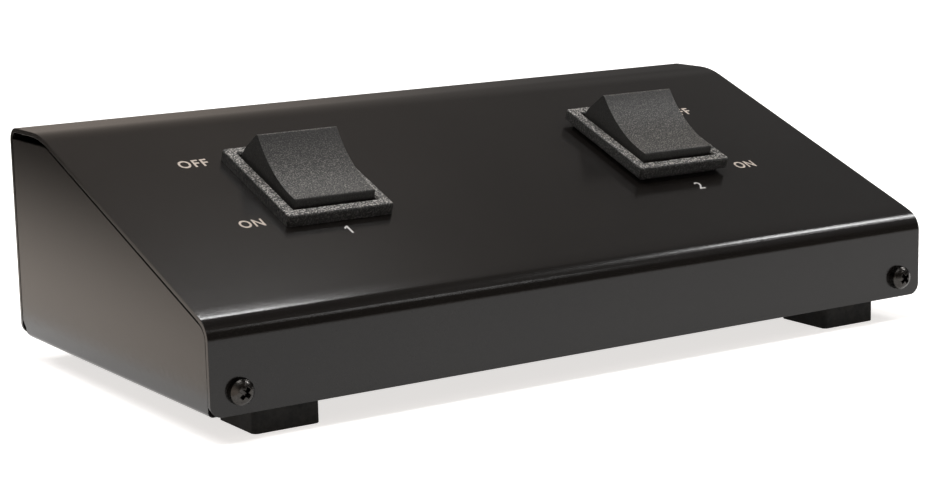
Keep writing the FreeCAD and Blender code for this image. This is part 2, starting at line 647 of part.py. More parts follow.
def paddle(name, side, lift):
    """Rocker with flat leaning ends over round ones, a hollow top, recesses and a plunger boss."""
    body = in_switch(name + "_rocker", side, lift, down="pivot_depth", angle="slope + paddle_tilt")
    skirt_y = "sqrt(paddle_radius * paddle_radius - paddle_skirt * paddle_skirt)"
    profile = new_sketch(body, "YZ")
    crest = [Vector(value("crest_y") * s, value("crest_z"), 0) for s in (1, -1)]
    shoulder = [Vector(value("shoulder_y") * s, value("shoulder_z"), 0) for s in (1, -1)]
    skirt = [Vector(value(skirt_y) * s, -value("paddle_skirt"), 0) for s in (1, -1)]
    dip = Vector(0, value("crest_z + sqrt(paddle_hollow * paddle_hollow - crest_y * crest_y)"), 0)
    right, right_low, right_high = draw_arc(profile, skirt[0], shoulder[0], Vector())
    right_face = profile.addGeometry(Part.LineSegment(shoulder[0], crest[0]))
    top, top_right, top_left = draw_arc(profile, crest[0], crest[1], dip)
    left_face = profile.addGeometry(Part.LineSegment(crest[1], shoulder[1]))
    left, left_high, left_low = draw_arc(profile, shoulder[1], skirt[1], Vector())
    under = profile.addGeometry(Part.LineSegment(skirt[1], skirt[0]))
    for a, a_end, b, b_end in ((right, right_high, right_face, 1), (right_face, 2, top, top_right),
                               (top, top_left, left_face, 1), (left_face, 2, left, left_high),
                               (left, left_low, under, 1), (under, 2, right, right_low)):
        profile.addConstraint(Sketcher.Constraint("Coincident", a, a_end, b, b_end))
    for way, face, crest_end, shoulder_end in (("", right_face, 2, 1), ("-", left_face, 1, 2)):
        hold_point(profile, face, crest_end, way + "crest_y", "crest_z")
        hold_point(profile, face, shoulder_end, way + "shoulder_y", "shoulder_z")
    hold_point(profile, under, 1, "-" + skirt_y, "-paddle_skirt")
    hold_point(profile, under, 2, skirt_y, "-paddle_skirt")
    hold_radius(profile, top, "paddle_hollow")
    hold_radius(profile, right, "paddle_radius")
    hold_radius(profile, left, "paddle_radius")
    block = pad(body, profile, "paddle_width", symmetric=True)
    crest_z = value("crest_z")
    edges = pick_edges(block, lambda p, q: same(p.z, crest_z) and same(q.z, crest_z) and not same(p.x, q.x))
    dress(body, "Fillet", block, edges, "crest_round")

    recess = new_sketch(body, "XY", at="-paddle_skirt - past")
    inner = "(crest_y + paddle_wall / 2)"
    for way in ("-", "+"):
        draw_box(recess, "0", "%s(%s + stem_thick / 2) / 2" % (way, inner), "paddle_width - 2 * paddle_wall",
                 "%s - stem_thick / 2" % inner)
    pocket(body, recess, "hollow_top + paddle_skirt + past")
    stem = new_sketch(body, "XY", at="-stem_length")
    draw_box(stem, "0", "0", "paddle_width - 2 * paddle_wall", "stem_thick")
    pad(body, stem, "stem_length")
    bores = new_sketch(body, "XY", at="-stem_length - past")
    for pole in ("-", "+"):
        draw_circle(bores, pole + "pole_pitch / 2", "0", "plunger_diameter / 2 + plunger_play")
    pocket(body, bores, "bore_top + stem_length + past")
    for start in ("paddle_width / 2 - bite", "-(paddle_width / 2 + pivot_reach)"):
        pin = new_sketch(body, "YZ", at=start)
        draw_circle(pin, "0", "0", "pivot_pin / 2")
        pad(body, pin, "pivot_reach + bite")


def plungers(name, side, lift):
    """Two blunt-ended plungers that slide in the paddle's boss."""
    body = in_switch(name + "_plungers", side, lift, down="pivot_depth", angle="slope + paddle_tilt")
    radius = "plunger_diameter / 2"
    plan = new_sketch(body, "XY", at="-plunger_tip")
    for pole in ("-", "+"):
        draw_circle(plan, pole + "pole_pitch / 2", "0", radius)
    rods = pad(body, plan, "plunger_tip - plunger_top")
    tip = -value("plunger_tip")
    ends = ["Edge%d" % n for n, edge in enumerate(rods.Shape.Edges, start=1)
            if all(same(point.Point.z, tip) for point in edge.Vertexes)]
    dress(body, "Chamfer", rods, ends, radius + " / 2")


def plunger_springs(name, side, lift):
    """Two coil springs between the plungers and the roofs of their bores."""
    mean = "(plunger_diameter / 2 - spring_play - spring_wire / 2)"
    low = "-plunger_top + spring_wire / 2 + contact_gap"
    rise = "(bore_top + plunger_top - spring_wire - 2 * contact_gap)"
    coils = []
    for pole in ("-", "+"):
        helix = doc.addObject("Part::Helix", "Helix")
        bind(helix, Radius=mean, Height=rise, Pitch=rise + " / spring_turns", Placement__Base__z=low,
             Placement__Base__x=pole + "pole_pitch / 2")
        wire = doc.addObject("Part::RegularPolygon", "Wire")
        wire.Polygon = 4
        wire.Placement = Placement(Vector(), Rotation(Vector(1, 0, 0), 90))
        bind(wire, Circumradius="spring_wire / 2", Placement__Base__z=low,
             Placement__Base__x=pole + "pole_pitch / 2 + " + mean)
        coil = doc.addObject("Part::Sweep", "Coil")
        coil.Sections = [wire]
        coil.Spine = (helix, [])
        coil.Solid = True
        coil.Frenet = True
        coils.append(coil)
    pair = doc.addObject("Part::Compound", name + "_plunger_springs")
    pair.Label = name + "_plunger_springs"
    pair.Links = coils
    put_in_switch(pair, side, lift, down="pivot_depth", angle="slope + paddle_tilt")


def seesaws(name, side, lift):
    """Two shallow V contacts with a contact pad at the end that closes, tilted as the paddle leaves them."""
    body = in_switch(name + "_seesaws", side, lift, down="pivot_depth - (%s)" % "seesaw_under",
                     angle="slope - seesaw_tilt")
    rise = "seesaw_half * tan(seesaw_angle)"
    thick = "seesaw_thick / cos(seesaw_angle)"
    section = new_sketch(body, "YZ")
    draw_outline(section, [
        ("0", "0"), ("seesaw_half", rise), ("seesaw_half", "%s + %s" % (rise, thick)),
        ("0", thick), ("-seesaw_half", "%s + %s" % (rise, thick)), ("-seesaw_half", rise),
    ])
    pad(body, section, "pole_pitch + seesaw_width", symmetric=True)
    gap = new_sketch(body, "YZ")
    draw_outline(gap, [("-2 * seesaw_half", "-seesaw_half"), ("2 * seesaw_half", "-seesaw_half"),
                       ("2 * seesaw_half", "seesaw_half"), ("-2 * seesaw_half", "seesaw_half")])
    pocket(body, gap, "pole_pitch - seesaw_width", symmetric=True)
    pads = new_sketch(body, "XY", tilt="seesaw_angle", shift=(
        "contact_reach + contact_height * sin(seesaw_angle)",
        "contact_reach * tan(seesaw_angle) - contact_height * cos(seesaw_angle)"))
    for pole in ("-", "+"):
        draw_box(pads, pole + "pole_pitch / 2", "0", "contact_width", "contact_width")
    pad(body, pads, "contact_height + seesaw_thick / 2")


def blades(name, side, lift, row):
    """The pair of terminal blades at one row: the centre ones carry the seesaws, the end ones a contact."""
    body = in_switch("%s_%s_blades" % (name, row), side, lift, down="pivot_depth")
    centre = row == "centre"
    along = "0" if centre else "contact_reach"
    top = "seesaw_under - contact_gap" if centre else "pad_z - contact_height"
    plan = new_sketch(body, "XY", at="blade_end")
    for pole in ("-", "+"):
        draw_box(plan, pole + "pole_pitch / 2", along, "blade_width", "blade_thick")
    pad(body, plan, "%s - blade_end" % top)
    if not centre:
        cap = new_sketch(body, "XY", at="pad_z - contact_height - bite")
        for pole in ("-", "+"):
            draw_box(cap, pole + "pole_pitch / 2", along, "contact_width", "contact_width")
        pad(body, cap, "contact_height + bite")
    eyes = new_sketch(body, "XZ", at="-contact_reach")
    for pole in ("-", "+"):
        draw_box(eyes, pole + "pole_pitch / 2", "blade_end + blade_width / 2", "eye_width", "eye_length")
    pocket(body, eyes, "3 * contact_reach")


def rocker_switch(name, side, lift):
    """One complete two-pole rocker switch."""
    switch_housing(name, side, lift)
    paddle(name, side, lift)
    plungers(name, side, lift)
    seesaws(name, side, lift)
    blades(name, side, lift, "centre")
    blades(name, side, lift, "end")
    plunger_springs(name, side, lift)


# ---- rear terminal blocks ----

def in_block(label, number, x="0"):
    """A body in the frame of one terminal block; number is -1, 0 or 1 from the left seen from the front."""
    return new_body(label, x="%d * block_pitch + %s" % (number, x), y="block_y", z="block_z")


def cell_places():
    """Centres of a block's four cells."""
    return ["%s * cell_pitch" % step for step in ("(-1.5)", "(-0.5)", "0.5", "1.5")]


def block_housing(name, number):
    """Flange and body in one moulding: four cells, lever windows, flared wire entries and an axle bore."""
    body = in_block(name + "_block", number)
    plate = new_sketch(body, "XZ")
    draw_box(plate, "0", "0", "flange_length", "flange_height", "flange_round")
    pad(body, plate, "flange_thick")
    core = new_sketch(body, "XZ", at="-body_depth")
    draw_box(core, "0", "0", "body_length", "body_height")
    pad(body, core, "body_depth + flange_thick / 2")
    cells = new_sketch(body, "XZ", at="-body_depth - past")
    windows = new_sketch(body, "XZ", at="-face_wall - bite")
    entries = new_sketch(body, "XZ", at="-face_wall - bite")
    for x in cell_places():
        draw_box(cells, x, "(cell_high - cell_low) / 2", "cell_width", "cell_high + cell_low")
        draw_box(windows, x, "(cell_high - window_low) / 2", "cell_width", "cell_high + window_low")
        draw_box(entries, x, "-entry_down", "entry_width", "entry_height", "entry_round")
    pocket(body, cells, "body_depth + past - face_wall")
    pocket(body, windows, "face_wall + flange_thick + past")
    pierced = pocket(body, entries, "face_wall + flange_thick + past")
    outer = value("flange_thick")
    highest = value("-entry_down + entry_height / 2 + bite")
    lowest = value("-entry_down - entry_height / 2 - bite")
    rim = pick_edges(pierced, lambda p, q: same(p.y, outer) and same(q.y, outer)
                     and lowest < min(p.z, q.z) and max(p.z, q.z) < highest)
    dress(body, "Chamfer", pierced, rim, "entry_flare")
    holes = new_sketch(body, "XZ", at="-past")
    for side in ("-", "+"):
        draw_circle(holes, side + "block_screw_pitch / 2", "0", "(block_screw_shank + screw_play) / 2")
    pocket(body, holes, "flange_thick + 2 * past")
    axle = new_sketch(body, "YZ")
    draw_circle(axle, "-axle_in", "axle_up", "axle_diameter / 2 + axle_fit")
    pocket(body, axle, "2 * body_length", symmetric=True)


def block_axle(name, number):
    """Steel rod that the four levers turn on."""
    body = in_block(name + "_axle", number)
    end = new_sketch(body, "YZ")
    draw_circle(end, "-axle_in", "axle_up", "axle_diameter / 2")
    pad(body, end, "body_length - strip_gap", symmetric=True)


def push_lever(name, number, index, x):
    """Lever with its tab outside, a hub on the axle and a heel over the spring contact."""
    body = in_block("%s_lever_%d" % (name, index), number, x=x)
    side = new_sketch(body, "YZ")
    draw_outline(side, [
        ("-axle_in - hub_radius", "axle_up - hub_radius", "hub_radius * hub_round"),
        ("-axle_in + 2 * hub_radius", "axle_up - hub_radius"),
        ("lever_reach", "axle_up + tab_low"),
        ("lever_reach", "axle_up + tab_high", "tab_round"),
        ("tab_start", "axle_up + tab_high + tab_rise", "2 * tab_round"),
        ("-axle_in + back_lean", "axle_up + lever_back"),
        ("-axle_in - heel_reach", "axle_up + heel_up + heel_thick"),
        ("-axle_in - heel_reach", "axle_up + heel_up"),
    ])
    pad(body, side, "lever_width", symmetric=True)
    bore = new_sketch(body, "YZ")
    draw_circle(bore, "-axle_in", "axle_up", "axle_diameter / 2 + axle_play")
    pocket(body, bore, "2 * lever_width", symmetric=True)


def spring_contacts(name, number):
    """Four bent strips: solder tag behind, floor, upright with a window for the wire, and a sprung tongue."""
    body = in_block(name + "_contacts", number)
    floor = "-cell_low + strip_gap"
    side = new_sketch(body, "YZ")
    draw_outline(side, [
        ("-body_depth - tag_reach", floor),
        ("-strip_front", floor, "strip_bend"),
        ("-strip_front", "-strip_high", "strip_bend"),
        ("-strip_back", "-strip_high - strip_bend"),
        ("-strip_back", "-strip_high - strip_bend - strip_thick"),
        ("-strip_front - strip_thick", "-strip_high - strip_thick", "strip_bend - strip_thick"),
        ("-strip_front - strip_thick", floor + " + strip_thick", "strip_bend - strip_thick"),
        ("-body_depth - tag_reach", floor + " + strip_thick"),
    ])
    pad(body, side, "3 * cell_pitch + strip_width", symmetric=True)
    between = new_sketch(body, "XY", at="-flange_height")
    for step in (-1, 0, 1):
        draw_box(between, "%d * cell_pitch" % step, "-body_depth", "cell_pitch - strip_width", "4 * body_depth")
    pocket(body, between, "2 * flange_height")
    windows = new_sketch(body, "XZ", at="-strip_front - 2 * strip_thick")
    for x in cell_places():
        draw_box(windows, x, "-entry_down", "strip_window", "strip_window")
    pocket(body, windows, "4 * strip_thick")


def terminal_block(name, number):
    """One complete four-way push-lever terminal block with its two fixing screws."""
    block_housing(name, number)
    block_axle(name, number)
    for index, x in enumerate(cell_places(), start=1):
        push_lever(name, number, index, x)
    spring_contacts(name, number)


# ---- wires ----

def on_tag(number, cell, over, aside="0"):
    """Where a wire lies on a block's solder tag, over or under it, in the case frame."""
    stand = "%s (strip_thick / 2 + wire_gap + wire_diameter / 2)" % ("+" if over else "-")
    x = "%d * block_pitch + (%s) * cell_pitch + (%s)" % (number, cell, aside)
    y = "case_depth - body_depth - tag_reach + wire_lap"
    z = "block_up - cell_low + strip_gap + strip_thick / 2 " + stand
    return Vector(value(x), value(y), value(z))


def on_blade(side, pole, row, face, height):
    """Where a wire lies at a height on a blade's rear (+) or front (-) face, in the case frame."""
    stand = "%s (blade_thick / 2 + wire_gap + wire_diameter / 2)" % face
    middle, centre_run = SWITCH_PLACES[side]
    run = "(%s + %s %s)" % (centre_run, row, stand)
    drop = "(nose_height + %s * sin(slope) - (%s))" % (run, height)
    x = "%s %s pole_pitch / 2" % (middle, pole)
    return Vector(value(x), value("%s * cos(slope) + %s * tan(slope)" % (run, drop)), value(height))


def across(number, cell, side, pole, row):
    """A wire from a tag forward to a blade, then across the blade's rear face."""
    tag = on_tag(number, cell, True)
    blade = on_blade(side, pole, row, "+", tag.z)
    lap = value("blade_width / 2") * (1 if blade.x > tag.x else -1)
    return [tag, Vector(tag.x, blade.y, tag.z), blade + Vector(lap, 0, 0)]


def wire_solid(points):
    """A wire along straight runs joined by tangent arcs, six-sided to stay light."""
    edges = []
    start = points[0]
    for before, corner, after in zip(points, points[1:], points[2:]):
        back = (before - corner).normalize()
        onward = (after - corner).normalize()
        half = back.getAngle(onward) / 2
        radius = value("wire_bend")
        enter = corner + back * (radius / math.tan(half))
        leave = corner + onward * (radius / math.tan(half))
        middle = corner + (back + onward).normalize() * (radius / math.sin(half) - radius)
        edges.append(Part.makeLine(start, enter))
        edges.append(Part.Arc(enter, middle, leave).toShape())
        start = leave
    edges.append(Part.makeLine(start, points[-1]))
    spine = Part.Wire(edges)
    ahead = points[1] - points[0]
    aside = ahead.cross(Vector(0, 0, 1) if abs(ahead.z) < ahead.Length / 2 else Vector(1, 0, 0)).normalize()
    spoke = aside * value("wire_diameter / 2")
    ring = [points[0] + Rotation(ahead, 60 * corner).multVec(spoke) for corner in range(7)]
    section = Part.Face(Part.makePolygon(ring))
    solid = spine.makePipe(section)
    if abs(solid.Volume / (section.Area * spine.Length) - 1) > VOLUME_ERROR:
        raise RuntimeError("a wire's volume is not its section times its length")
    return solid


def wires(label, routes):
    """The wires of one job, as one node."""
    feature = doc.addObject("Part::Feature", label)
    feature.Label = label
    feature.Shape = Part.Compound([wire_solid(route) for route in routes])
    place(feature, "0", "case_y", "case_z")


def link(pole, face):
    """From under a centre blade of switch 1 to the same blade of switch 2, below the other blades."""
    ends = []
    for side in ("-", "+"):
        top = on_blade(side, pole, "0", face, "link_height + link_rise")
        ends.append([top, on_blade(side, pole, "0", face, "link_height")])
    return ends[0] + ends[1][::-1]


def under_route():
    """From output 1's first tag, sloping down past the nearer end blade, up the farther one's rear face."""
    tag = on_tag(0, "-1.5", True)
    turn = on_blade("-", "-", "contact_reach", "+", "under_height")
    top = on_blade("-", "-", "contact_reach", "+", tag.z)
    return [tag, Vector(tag.x, turn.y, tag.z), turn, top]


def return_route(first, last, cell, lane, first_aside, last_aside):
    """From under one block's tag to a lane in front of the tags and back to the next block."""
    ends = []
    ahead = Vector(0, value("return_lane * %d" % lane), value("return_drop * %d" % (lane - 1)))
    for number, aside in ((first, first_aside), (last, last_aside)):
        tag = on_tag(number, cell, False, aside)
        ends.append([tag, tag - ahead])
    return ends[0] + ends[1][::-1]


def wiring():
    """Live wires through the switches, links between the switches, and return wires from block to block."""
    wires("input_wires", [across(-1, "-1.5", "-", "-", "0"), across(-1, "1.5", "-", "+", "0")])
    wires("link_wires", [link("-", "-"), link("+", "+")])
    wires("output_1_wires", [under_route(), across(0, "1.5", "-", "+", "contact_reach")])
    wires("output_2_wires", [across(1, "-1.5", "+", "-", "contact_reach"),
                             across(1, "1.5", "+", "+", "contact_reach")])
    routes = []
    for cell, lane in (("-0.5", 1), ("0.5", 2)):
        routes.append(return_route(-1, 0, cell, lane, "0", "-wire_pair / 2"))
        routes.append(return_route(0, 1, cell, lane, "wire_pair / 2", "0"))
    wires("return_wires", routes)


# ---- the whole box ----

cover()
tray()
for side_name, side in (("left", "-"), ("right", "+")):
    for end in ("front", "rear"):
        foot("foot_%s_%s" % (end, side_name), side, end)
    screw_x = side + "(case_width / 2 - screw_inset)"
    screw("cover_screw_front_" + side_name, screw_x, "case_y", "case_z + screw_up", -1, "screw", True)
    screw("cover_screw_rear_" + side_name, screw_x, "case_y + case_depth", "case_z + screw_up", 1, "screw",
          True)
rocker_switch("switch_1", "-", "0")
rocker_switch("switch_2", "+", "switch_2_lift")
for block_name, number in (("input", -1), ("output_1", 0), ("output_2", 1)):
    terminal_block(block_name, number)
    for side_name, side in (("left", "-"), ("right", "+")):
        screw_x = "%d * block_pitch %s block_screw_pitch / 2" % (number, side)
        screw("%s_screw_%s" % (block_name, side_name), screw_x, "block_y + flange_thick", "block_z", 1,
              "block_screw", False)
wiring()
doc.recompute()

for item in doc.Objects:
    if "Invalid" in item.State or "Error" in item.State:
        raise RuntimeError("%s: %s" % (item.Label, item.State))
    if item.isDerivedFrom("PartDesign::Pocket"):
        removed = item.BaseFeature.Shape.Volume - item.Shape.Volume
        if removed < LEAST_CUT:
            raise RuntimeError("%s in %s cuts nothing" % (item.Label, item.getParentGeoFeatureGroup().Label))

os.makedirs("parts", exist_ok=True)
for node in NODES:
    if node.Shape.isNull() or not node.Shape.isValid():
        raise RuntimeError("%s has no valid shape" % node.Label)
    node.Shape.exportStep("parts/%s.step" % node.Label)
print("%d nodes" % len(NODES))
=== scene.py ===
"""Looks of the two-way speaker selector switch: finished pieces, materials, print, light, camera.

Everything is in metres in the part's frame: x to the right seen from the front, y from front to
rear, z up.
"""
import json
import math

import bmesh
import bpy
from mathutils import Matrix, Vector

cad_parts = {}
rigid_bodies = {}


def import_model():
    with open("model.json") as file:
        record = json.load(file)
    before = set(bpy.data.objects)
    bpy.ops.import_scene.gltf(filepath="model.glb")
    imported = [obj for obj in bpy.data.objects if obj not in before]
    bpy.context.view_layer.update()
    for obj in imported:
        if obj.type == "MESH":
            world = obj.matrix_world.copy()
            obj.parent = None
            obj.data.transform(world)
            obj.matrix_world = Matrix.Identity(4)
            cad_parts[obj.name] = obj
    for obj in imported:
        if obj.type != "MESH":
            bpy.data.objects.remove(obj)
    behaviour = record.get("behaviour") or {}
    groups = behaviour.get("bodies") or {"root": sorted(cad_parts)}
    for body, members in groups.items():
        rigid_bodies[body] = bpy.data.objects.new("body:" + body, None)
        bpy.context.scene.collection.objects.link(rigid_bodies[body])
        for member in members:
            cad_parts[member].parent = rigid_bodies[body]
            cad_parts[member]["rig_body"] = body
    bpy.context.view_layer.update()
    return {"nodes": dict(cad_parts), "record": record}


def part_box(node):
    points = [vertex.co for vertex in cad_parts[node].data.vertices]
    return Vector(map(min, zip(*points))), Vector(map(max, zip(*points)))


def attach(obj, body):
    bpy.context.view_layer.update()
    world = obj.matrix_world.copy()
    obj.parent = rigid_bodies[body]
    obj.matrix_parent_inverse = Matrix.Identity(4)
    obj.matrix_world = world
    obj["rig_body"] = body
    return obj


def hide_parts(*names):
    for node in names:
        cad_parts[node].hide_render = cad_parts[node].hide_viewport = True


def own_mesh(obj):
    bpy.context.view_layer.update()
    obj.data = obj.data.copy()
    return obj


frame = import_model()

MM = 0.001

# The case, as the part's source has it.
CASE_DEPTH = 92.5 * MM
TOP_HEIGHT = 46.7 * MM     # of the ledge over the tray's bottom
NOSE_HEIGHT = 18.1 * MM    # of the corner that the front and the slope would meet in
LEDGE_DEPTH = 16.5 * MM
SHEET = 1.0 * MM
NOSE_BEND = 4.75 * MM      # outer radius of the cover's nose
TRAY_BEND = 2 * MM         # outer radius at the foot of the tray's sides
SIDE_TOP = 44.1 * MM       # of the side panels over the tray's bottom

cover_low, cover_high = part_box("top_cover")
cover_middle = (cover_low.y + cover_high.y) / 2
tray_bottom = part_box("base_tray")[0].z
slope_rise = math.atan2(TOP_HEIGHT - NOSE_HEIGHT, CASE_DEPTH - LEDGE_DEPTH)
up_slope = Vector((0, math.cos(slope_rise), math.sin(slope_rise)))
off_slope = Vector((0, -math.sin(slope_rise), math.cos(slope_rise)))
nose_corner = Vector((0, cover_low.y, tray_bottom + NOSE_HEIGHT))
nose_turn = math.pi / 2 - slope_rise
nose_foot = NOSE_BEND * math.tan(nose_turn / 2)
nose_centre = Vector((0, cover_low.y + NOSE_BEND, tray_bottom + NOSE_HEIGHT - nose_foot))


def put_in_scene(name, data):
    """A new object at the origin."""
    item = bpy.data.objects.new(name, data)
    bpy.context.scene.collection.objects.link(item)
    return item


def flat_mesh(name, corners):
    """A mesh of one face."""
    mesh = bpy.data.meshes.new(name)
    mesh.from_pydata(corners, [], [tuple(range(len(corners)))])
    return mesh


def evaluated_mesh(piece):
    """A plain mesh of what a piece's modifiers or curve make."""
    graph = bpy.context.evaluated_depsgraph_get()
    graph.update()
    return bpy.data.meshes.new_from_object(piece.evaluated_get(graph), preserve_all_data_layers=True,
                                           depsgraph=graph)


# ---------------------------------------------------------------- node graphs

def feed(tree, socket, value):
    """Give a socket a constant or another node's output."""
    if isinstance(value, bpy.types.NodeSocket):
        tree.links.new(value, socket)
    else:
        socket.default_value = value


def combined(tree, operation, first, second=0.0):
    """Two numbers, each a constant or a socket, joined by an operation."""
    node = tree.nodes.new("ShaderNodeMath")
    node.operation = operation
    feed(tree, node.inputs[0], first)
    feed(tree, node.inputs[1], second)
    return node.outputs["Value"]


def spread(tree, value, low, high, at_low, at_high, soft=False):
    """value from low..high to at_low..at_high, held at the ends."""
    node = tree.nodes.new("ShaderNodeMapRange")
    if soft:
        node.interpolation_type = "SMOOTHSTEP"
    for socket, number in zip(node.inputs, (value, low, high, at_low, at_high)):
        feed(tree, socket, number)
    return node.outputs["Result"]


def mixed(tree, factor, first, second):
    """A colour between two, each a colour or a socket."""
    node = tree.nodes.new("ShaderNodeMix")
    node.data_type = "RGBA"
    feed(tree, node.inputs[0], factor)
    for socket, colour in zip(node.inputs[6:8], (first, second)):
        feed(tree, socket, colour if isinstance(colour, bpy.types.NodeSocket) else (*colour, 1))
    return node.outputs[2]


def axes_of(tree, vector):
    """The outputs X, Y and Z of a vector."""
    node = tree.nodes.new("ShaderNodeSeparateXYZ")
    tree.links.new(vector, node.inputs["Vector"])
    return node.outputs


def empty_material(name):
    """A new material, its tree and that tree's output node."""
    material = bpy.data.materials.new(name)
    material.use_nodes = True
    tree = material.node_tree
    tree.nodes.clear()
    return material, tree, tree.nodes.new("ShaderNodeOutputMaterial")


class Shader:
    """A surface material, built up by short calls."""

    def __init__(self, name, **constants):
        self.material, self.tree, output = empty_material(name)
        self.surface = self.tree.nodes.new("ShaderNodeBsdfPrincipled")
        self.tree.links.new(self.surface.outputs["BSDF"], output.inputs["Surface"])
        for socket, value in constants.items():
            self.surface.inputs[socket.replace("_", " ")].default_value = value
        coordinates = self.tree.nodes.new("ShaderNodeTexCoord")
        self.place = coordinates.outputs["Object"]
        self.facing = coordinates.outputs["Normal"]

    def set(self, socket, value):
        """Feed one of the surface's sockets."""
        feed(self.tree, self.surface.inputs[socket], value)

    def noise(self, feature, detail=2.0, rough=0.5, stretch=(1, 1, 1)):
        """Noise whose blobs are about feature metres across."""
        node = self.tree.nodes.new("ShaderNodeTexNoise")
        node.inputs["Detail"].default_value = detail
        node.inputs["Roughness"].default_value = rough
        return self.patterned(node, feature, stretch, "Fac")

    def cells(self, feature, kind="F1"):
        """Distance from the middles of Voronoi cells about feature metres across."""
        node = self.tree.nodes.new("ShaderNodeTexVoronoi")
        node.feature = kind
        return self.patterned(node, feature, (1, 1, 1), "Distance")

    def patterned(self, node, feature, stretch, output):
        """A texture node's output, with the pattern scaled on the piece's own coordinates."""
        mapping = self.tree.nodes.new("ShaderNodeMapping")
        mapping.inputs["Scale"].default_value = stretch
        self.tree.links.new(self.place, mapping.inputs["Vector"])
        self.tree.links.new(mapping.outputs["Vector"], node.inputs["Vector"])
        node.inputs["Scale"].default_value = 1 / feature
        return node.outputs[output]

    def span(self, value, low, high, to_low=0.0, to_high=1.0):
        return spread(self.tree, value, low, high, to_low, to_high)

    def times(self, first, second):
        return combined(self.tree, "MULTIPLY", first, second)

    def mix(self, factor, first, second):
        return mixed(self.tree, factor, first, second)

    def lying_flat(self, low, high, on_sides):
        """1 on faces that look up, on_sides on those that look sideways or down."""
        return self.span(axes_of(self.tree, self.facing)["Z"], low, high, on_sides, 1.0)

    def bump(self, *layers):
        """Relief from (height 0..1, depth in metres) layers."""
        normal = None
        for height, depth in layers:
            node = self.tree.nodes.new("ShaderNodeBump")
            node.inputs["Distance"].default_value = depth
            self.tree.links.new(height, node.inputs["Height"])
            if normal is not None:
                self.tree.links.new(normal, node.inputs["Normal"])
            normal = node.outputs["Normal"]
        self.set("Normal", normal)


# ---------------------------------------------------------------- finishes

def powder_coat():
    """Satin black powder coat: fine orange peel, a faint mottling and a little dust."""
    paint = Shader("satin_black_powder_coat", IOR=1.5, Specular_IOR_Level=0.31)
    mottle = paint.noise(26 * MM, 3, 0.55)
    peel = paint.noise(1.1 * MM)
    grit = paint.noise(0.30 * MM, 2, 0.6)
    colour = paint.mix(paint.span(mottle, 0.3, 0.7), (0.0068, 0.0058, 0.0052), (0.0086, 0.0074, 0.0066))
    specks = paint.times(paint.span(grit, 0.56, 0.74), 0.25)
    colour = paint.mix(specks, colour, (0.030, 0.027, 0.025))
    dust = paint.times(paint.span(paint.cells(6.5 * MM), 0.0, 0.02, 1.0, 0.0), 0.4)
    paint.set("Base Color", paint.mix(dust, colour, (0.16, 0.15, 0.14)))
    paint.set("Roughness", paint.span(grit, 0.3, 0.7, 0.16, 0.21))
    paint.bump((peel, 0.010 * MM), (grit, 0.005 * MM))
    return paint.material


def grained_plastic(name, dark, pale, glint_colour, glint_spread, grain, relief, rough, on_sides):
    """Black moulded plastic with an eroded grain, whose high points carry a painted glint, pale on faces
    that look up as if lit from above.

    A larger spread puts the painted glint on more of the surface; on_sides is how much of the painted glint
    the sides have.
    """
    plastic = Shader(name, IOR=1.5, Specular_IOR_Level=0.36)
    pits = plastic.cells(grain, "SMOOTH_F1")
    lumps = plastic.noise(grain, 3, 0.7)
    height = combined(plastic.tree, "ADD", plastic.times(pits, 0.5), plastic.times(lumps, 0.8))
    colour = plastic.mix(plastic.noise(6 * MM), dark, pale)
    # Painted glint: pale colour on the grain's high points, mostly on faces that look up, standing in for
    # glints of overhead light.
    painted_glint = plastic.span(lumps, 0.60 - glint_spread, 0.72 - glint_spread)
    painted_glint = plastic.times(painted_glint, plastic.lying_flat(0.5, 0.97, on_sides))
    plastic.set("Base Color", plastic.mix(painted_glint, colour, glint_colour))
    plastic.set("Roughness", plastic.span(height, 0.3, 0.9, rough + 0.08, rough - 0.12))
    plastic.bump((height, relief))
    return plastic.material


def foot_rubber():
    """Mottled matt rubber."""
    rubber = Shader("black_foot_rubber", IOR=1.5, Specular_IOR_Level=0.2)
    cloud = rubber.noise(2.4 * MM, 3, 0.6)
    grain = rubber.noise(0.3 * MM, 2, 0.6)
    pale = rubber.span(cloud, 0.35, 0.65)
    rubber.set("Base Color", rubber.mix(pale, (0.006, 0.006, 0.006), (0.032, 0.031, 0.029)))
    rubber.set("Roughness", rubber.span(cloud, 0.3, 0.7, 0.72, 0.88))
    rubber.bump((grain, 0.03 * MM))
    return rubber.material


def blackened_steel():
    """Blackened screw steel, a little worn."""
    steel = Shader("blackened_screw_steel", Metallic=1.0)
    wear = steel.noise(0.7 * MM, 3, 0.6)
    steel.set("Base Color", steel.mix(wear, (0.022, 0.021, 0.020), (0.065, 0.061, 0.057)))
    steel.set("Roughness", steel.span(wear, 0.3, 0.7, 0.2, 0.34))
    steel.bump((steel.noise(0.25 * MM), 0.006 * MM))
    return steel.material


def metal(name, dull, bright, rough, stretch):
    """Bare metal with drawing or rolling marks, drawn out along the axes whose stretch is small."""
    bare = Shader(name, Metallic=1.0)
    marks = bare.noise(0.5 * MM, 3, 0.6, stretch)
    stain = bare.noise(3 * MM, 3, 0.6)
    bare.set("Base Color", bare.mix(stain, dull, bright))
    bare.set("Roughness", bare.span(marks, 0.3, 0.7, rough - 0.06, rough + 0.08))
    bare.bump((marks, 0.004 * MM))
    return bare.material


def moulded(name, dark, pale, rough):
    """Smooth moulded plastic with a faint flow pattern."""
    plastic = Shader(name, IOR=1.5, Specular_IOR_Level=0.5)
    flow = plastic.noise(5 * MM, 3, 0.55)
    plastic.set("Base Color", plastic.mix(flow, dark, pale))
    plastic.set("Roughness", plastic.span(flow, 0.3, 0.7, rough - 0.05, rough + 0.06))
    plastic.bump((plastic.noise(0.35 * MM), 0.006 * MM))
    return plastic.material


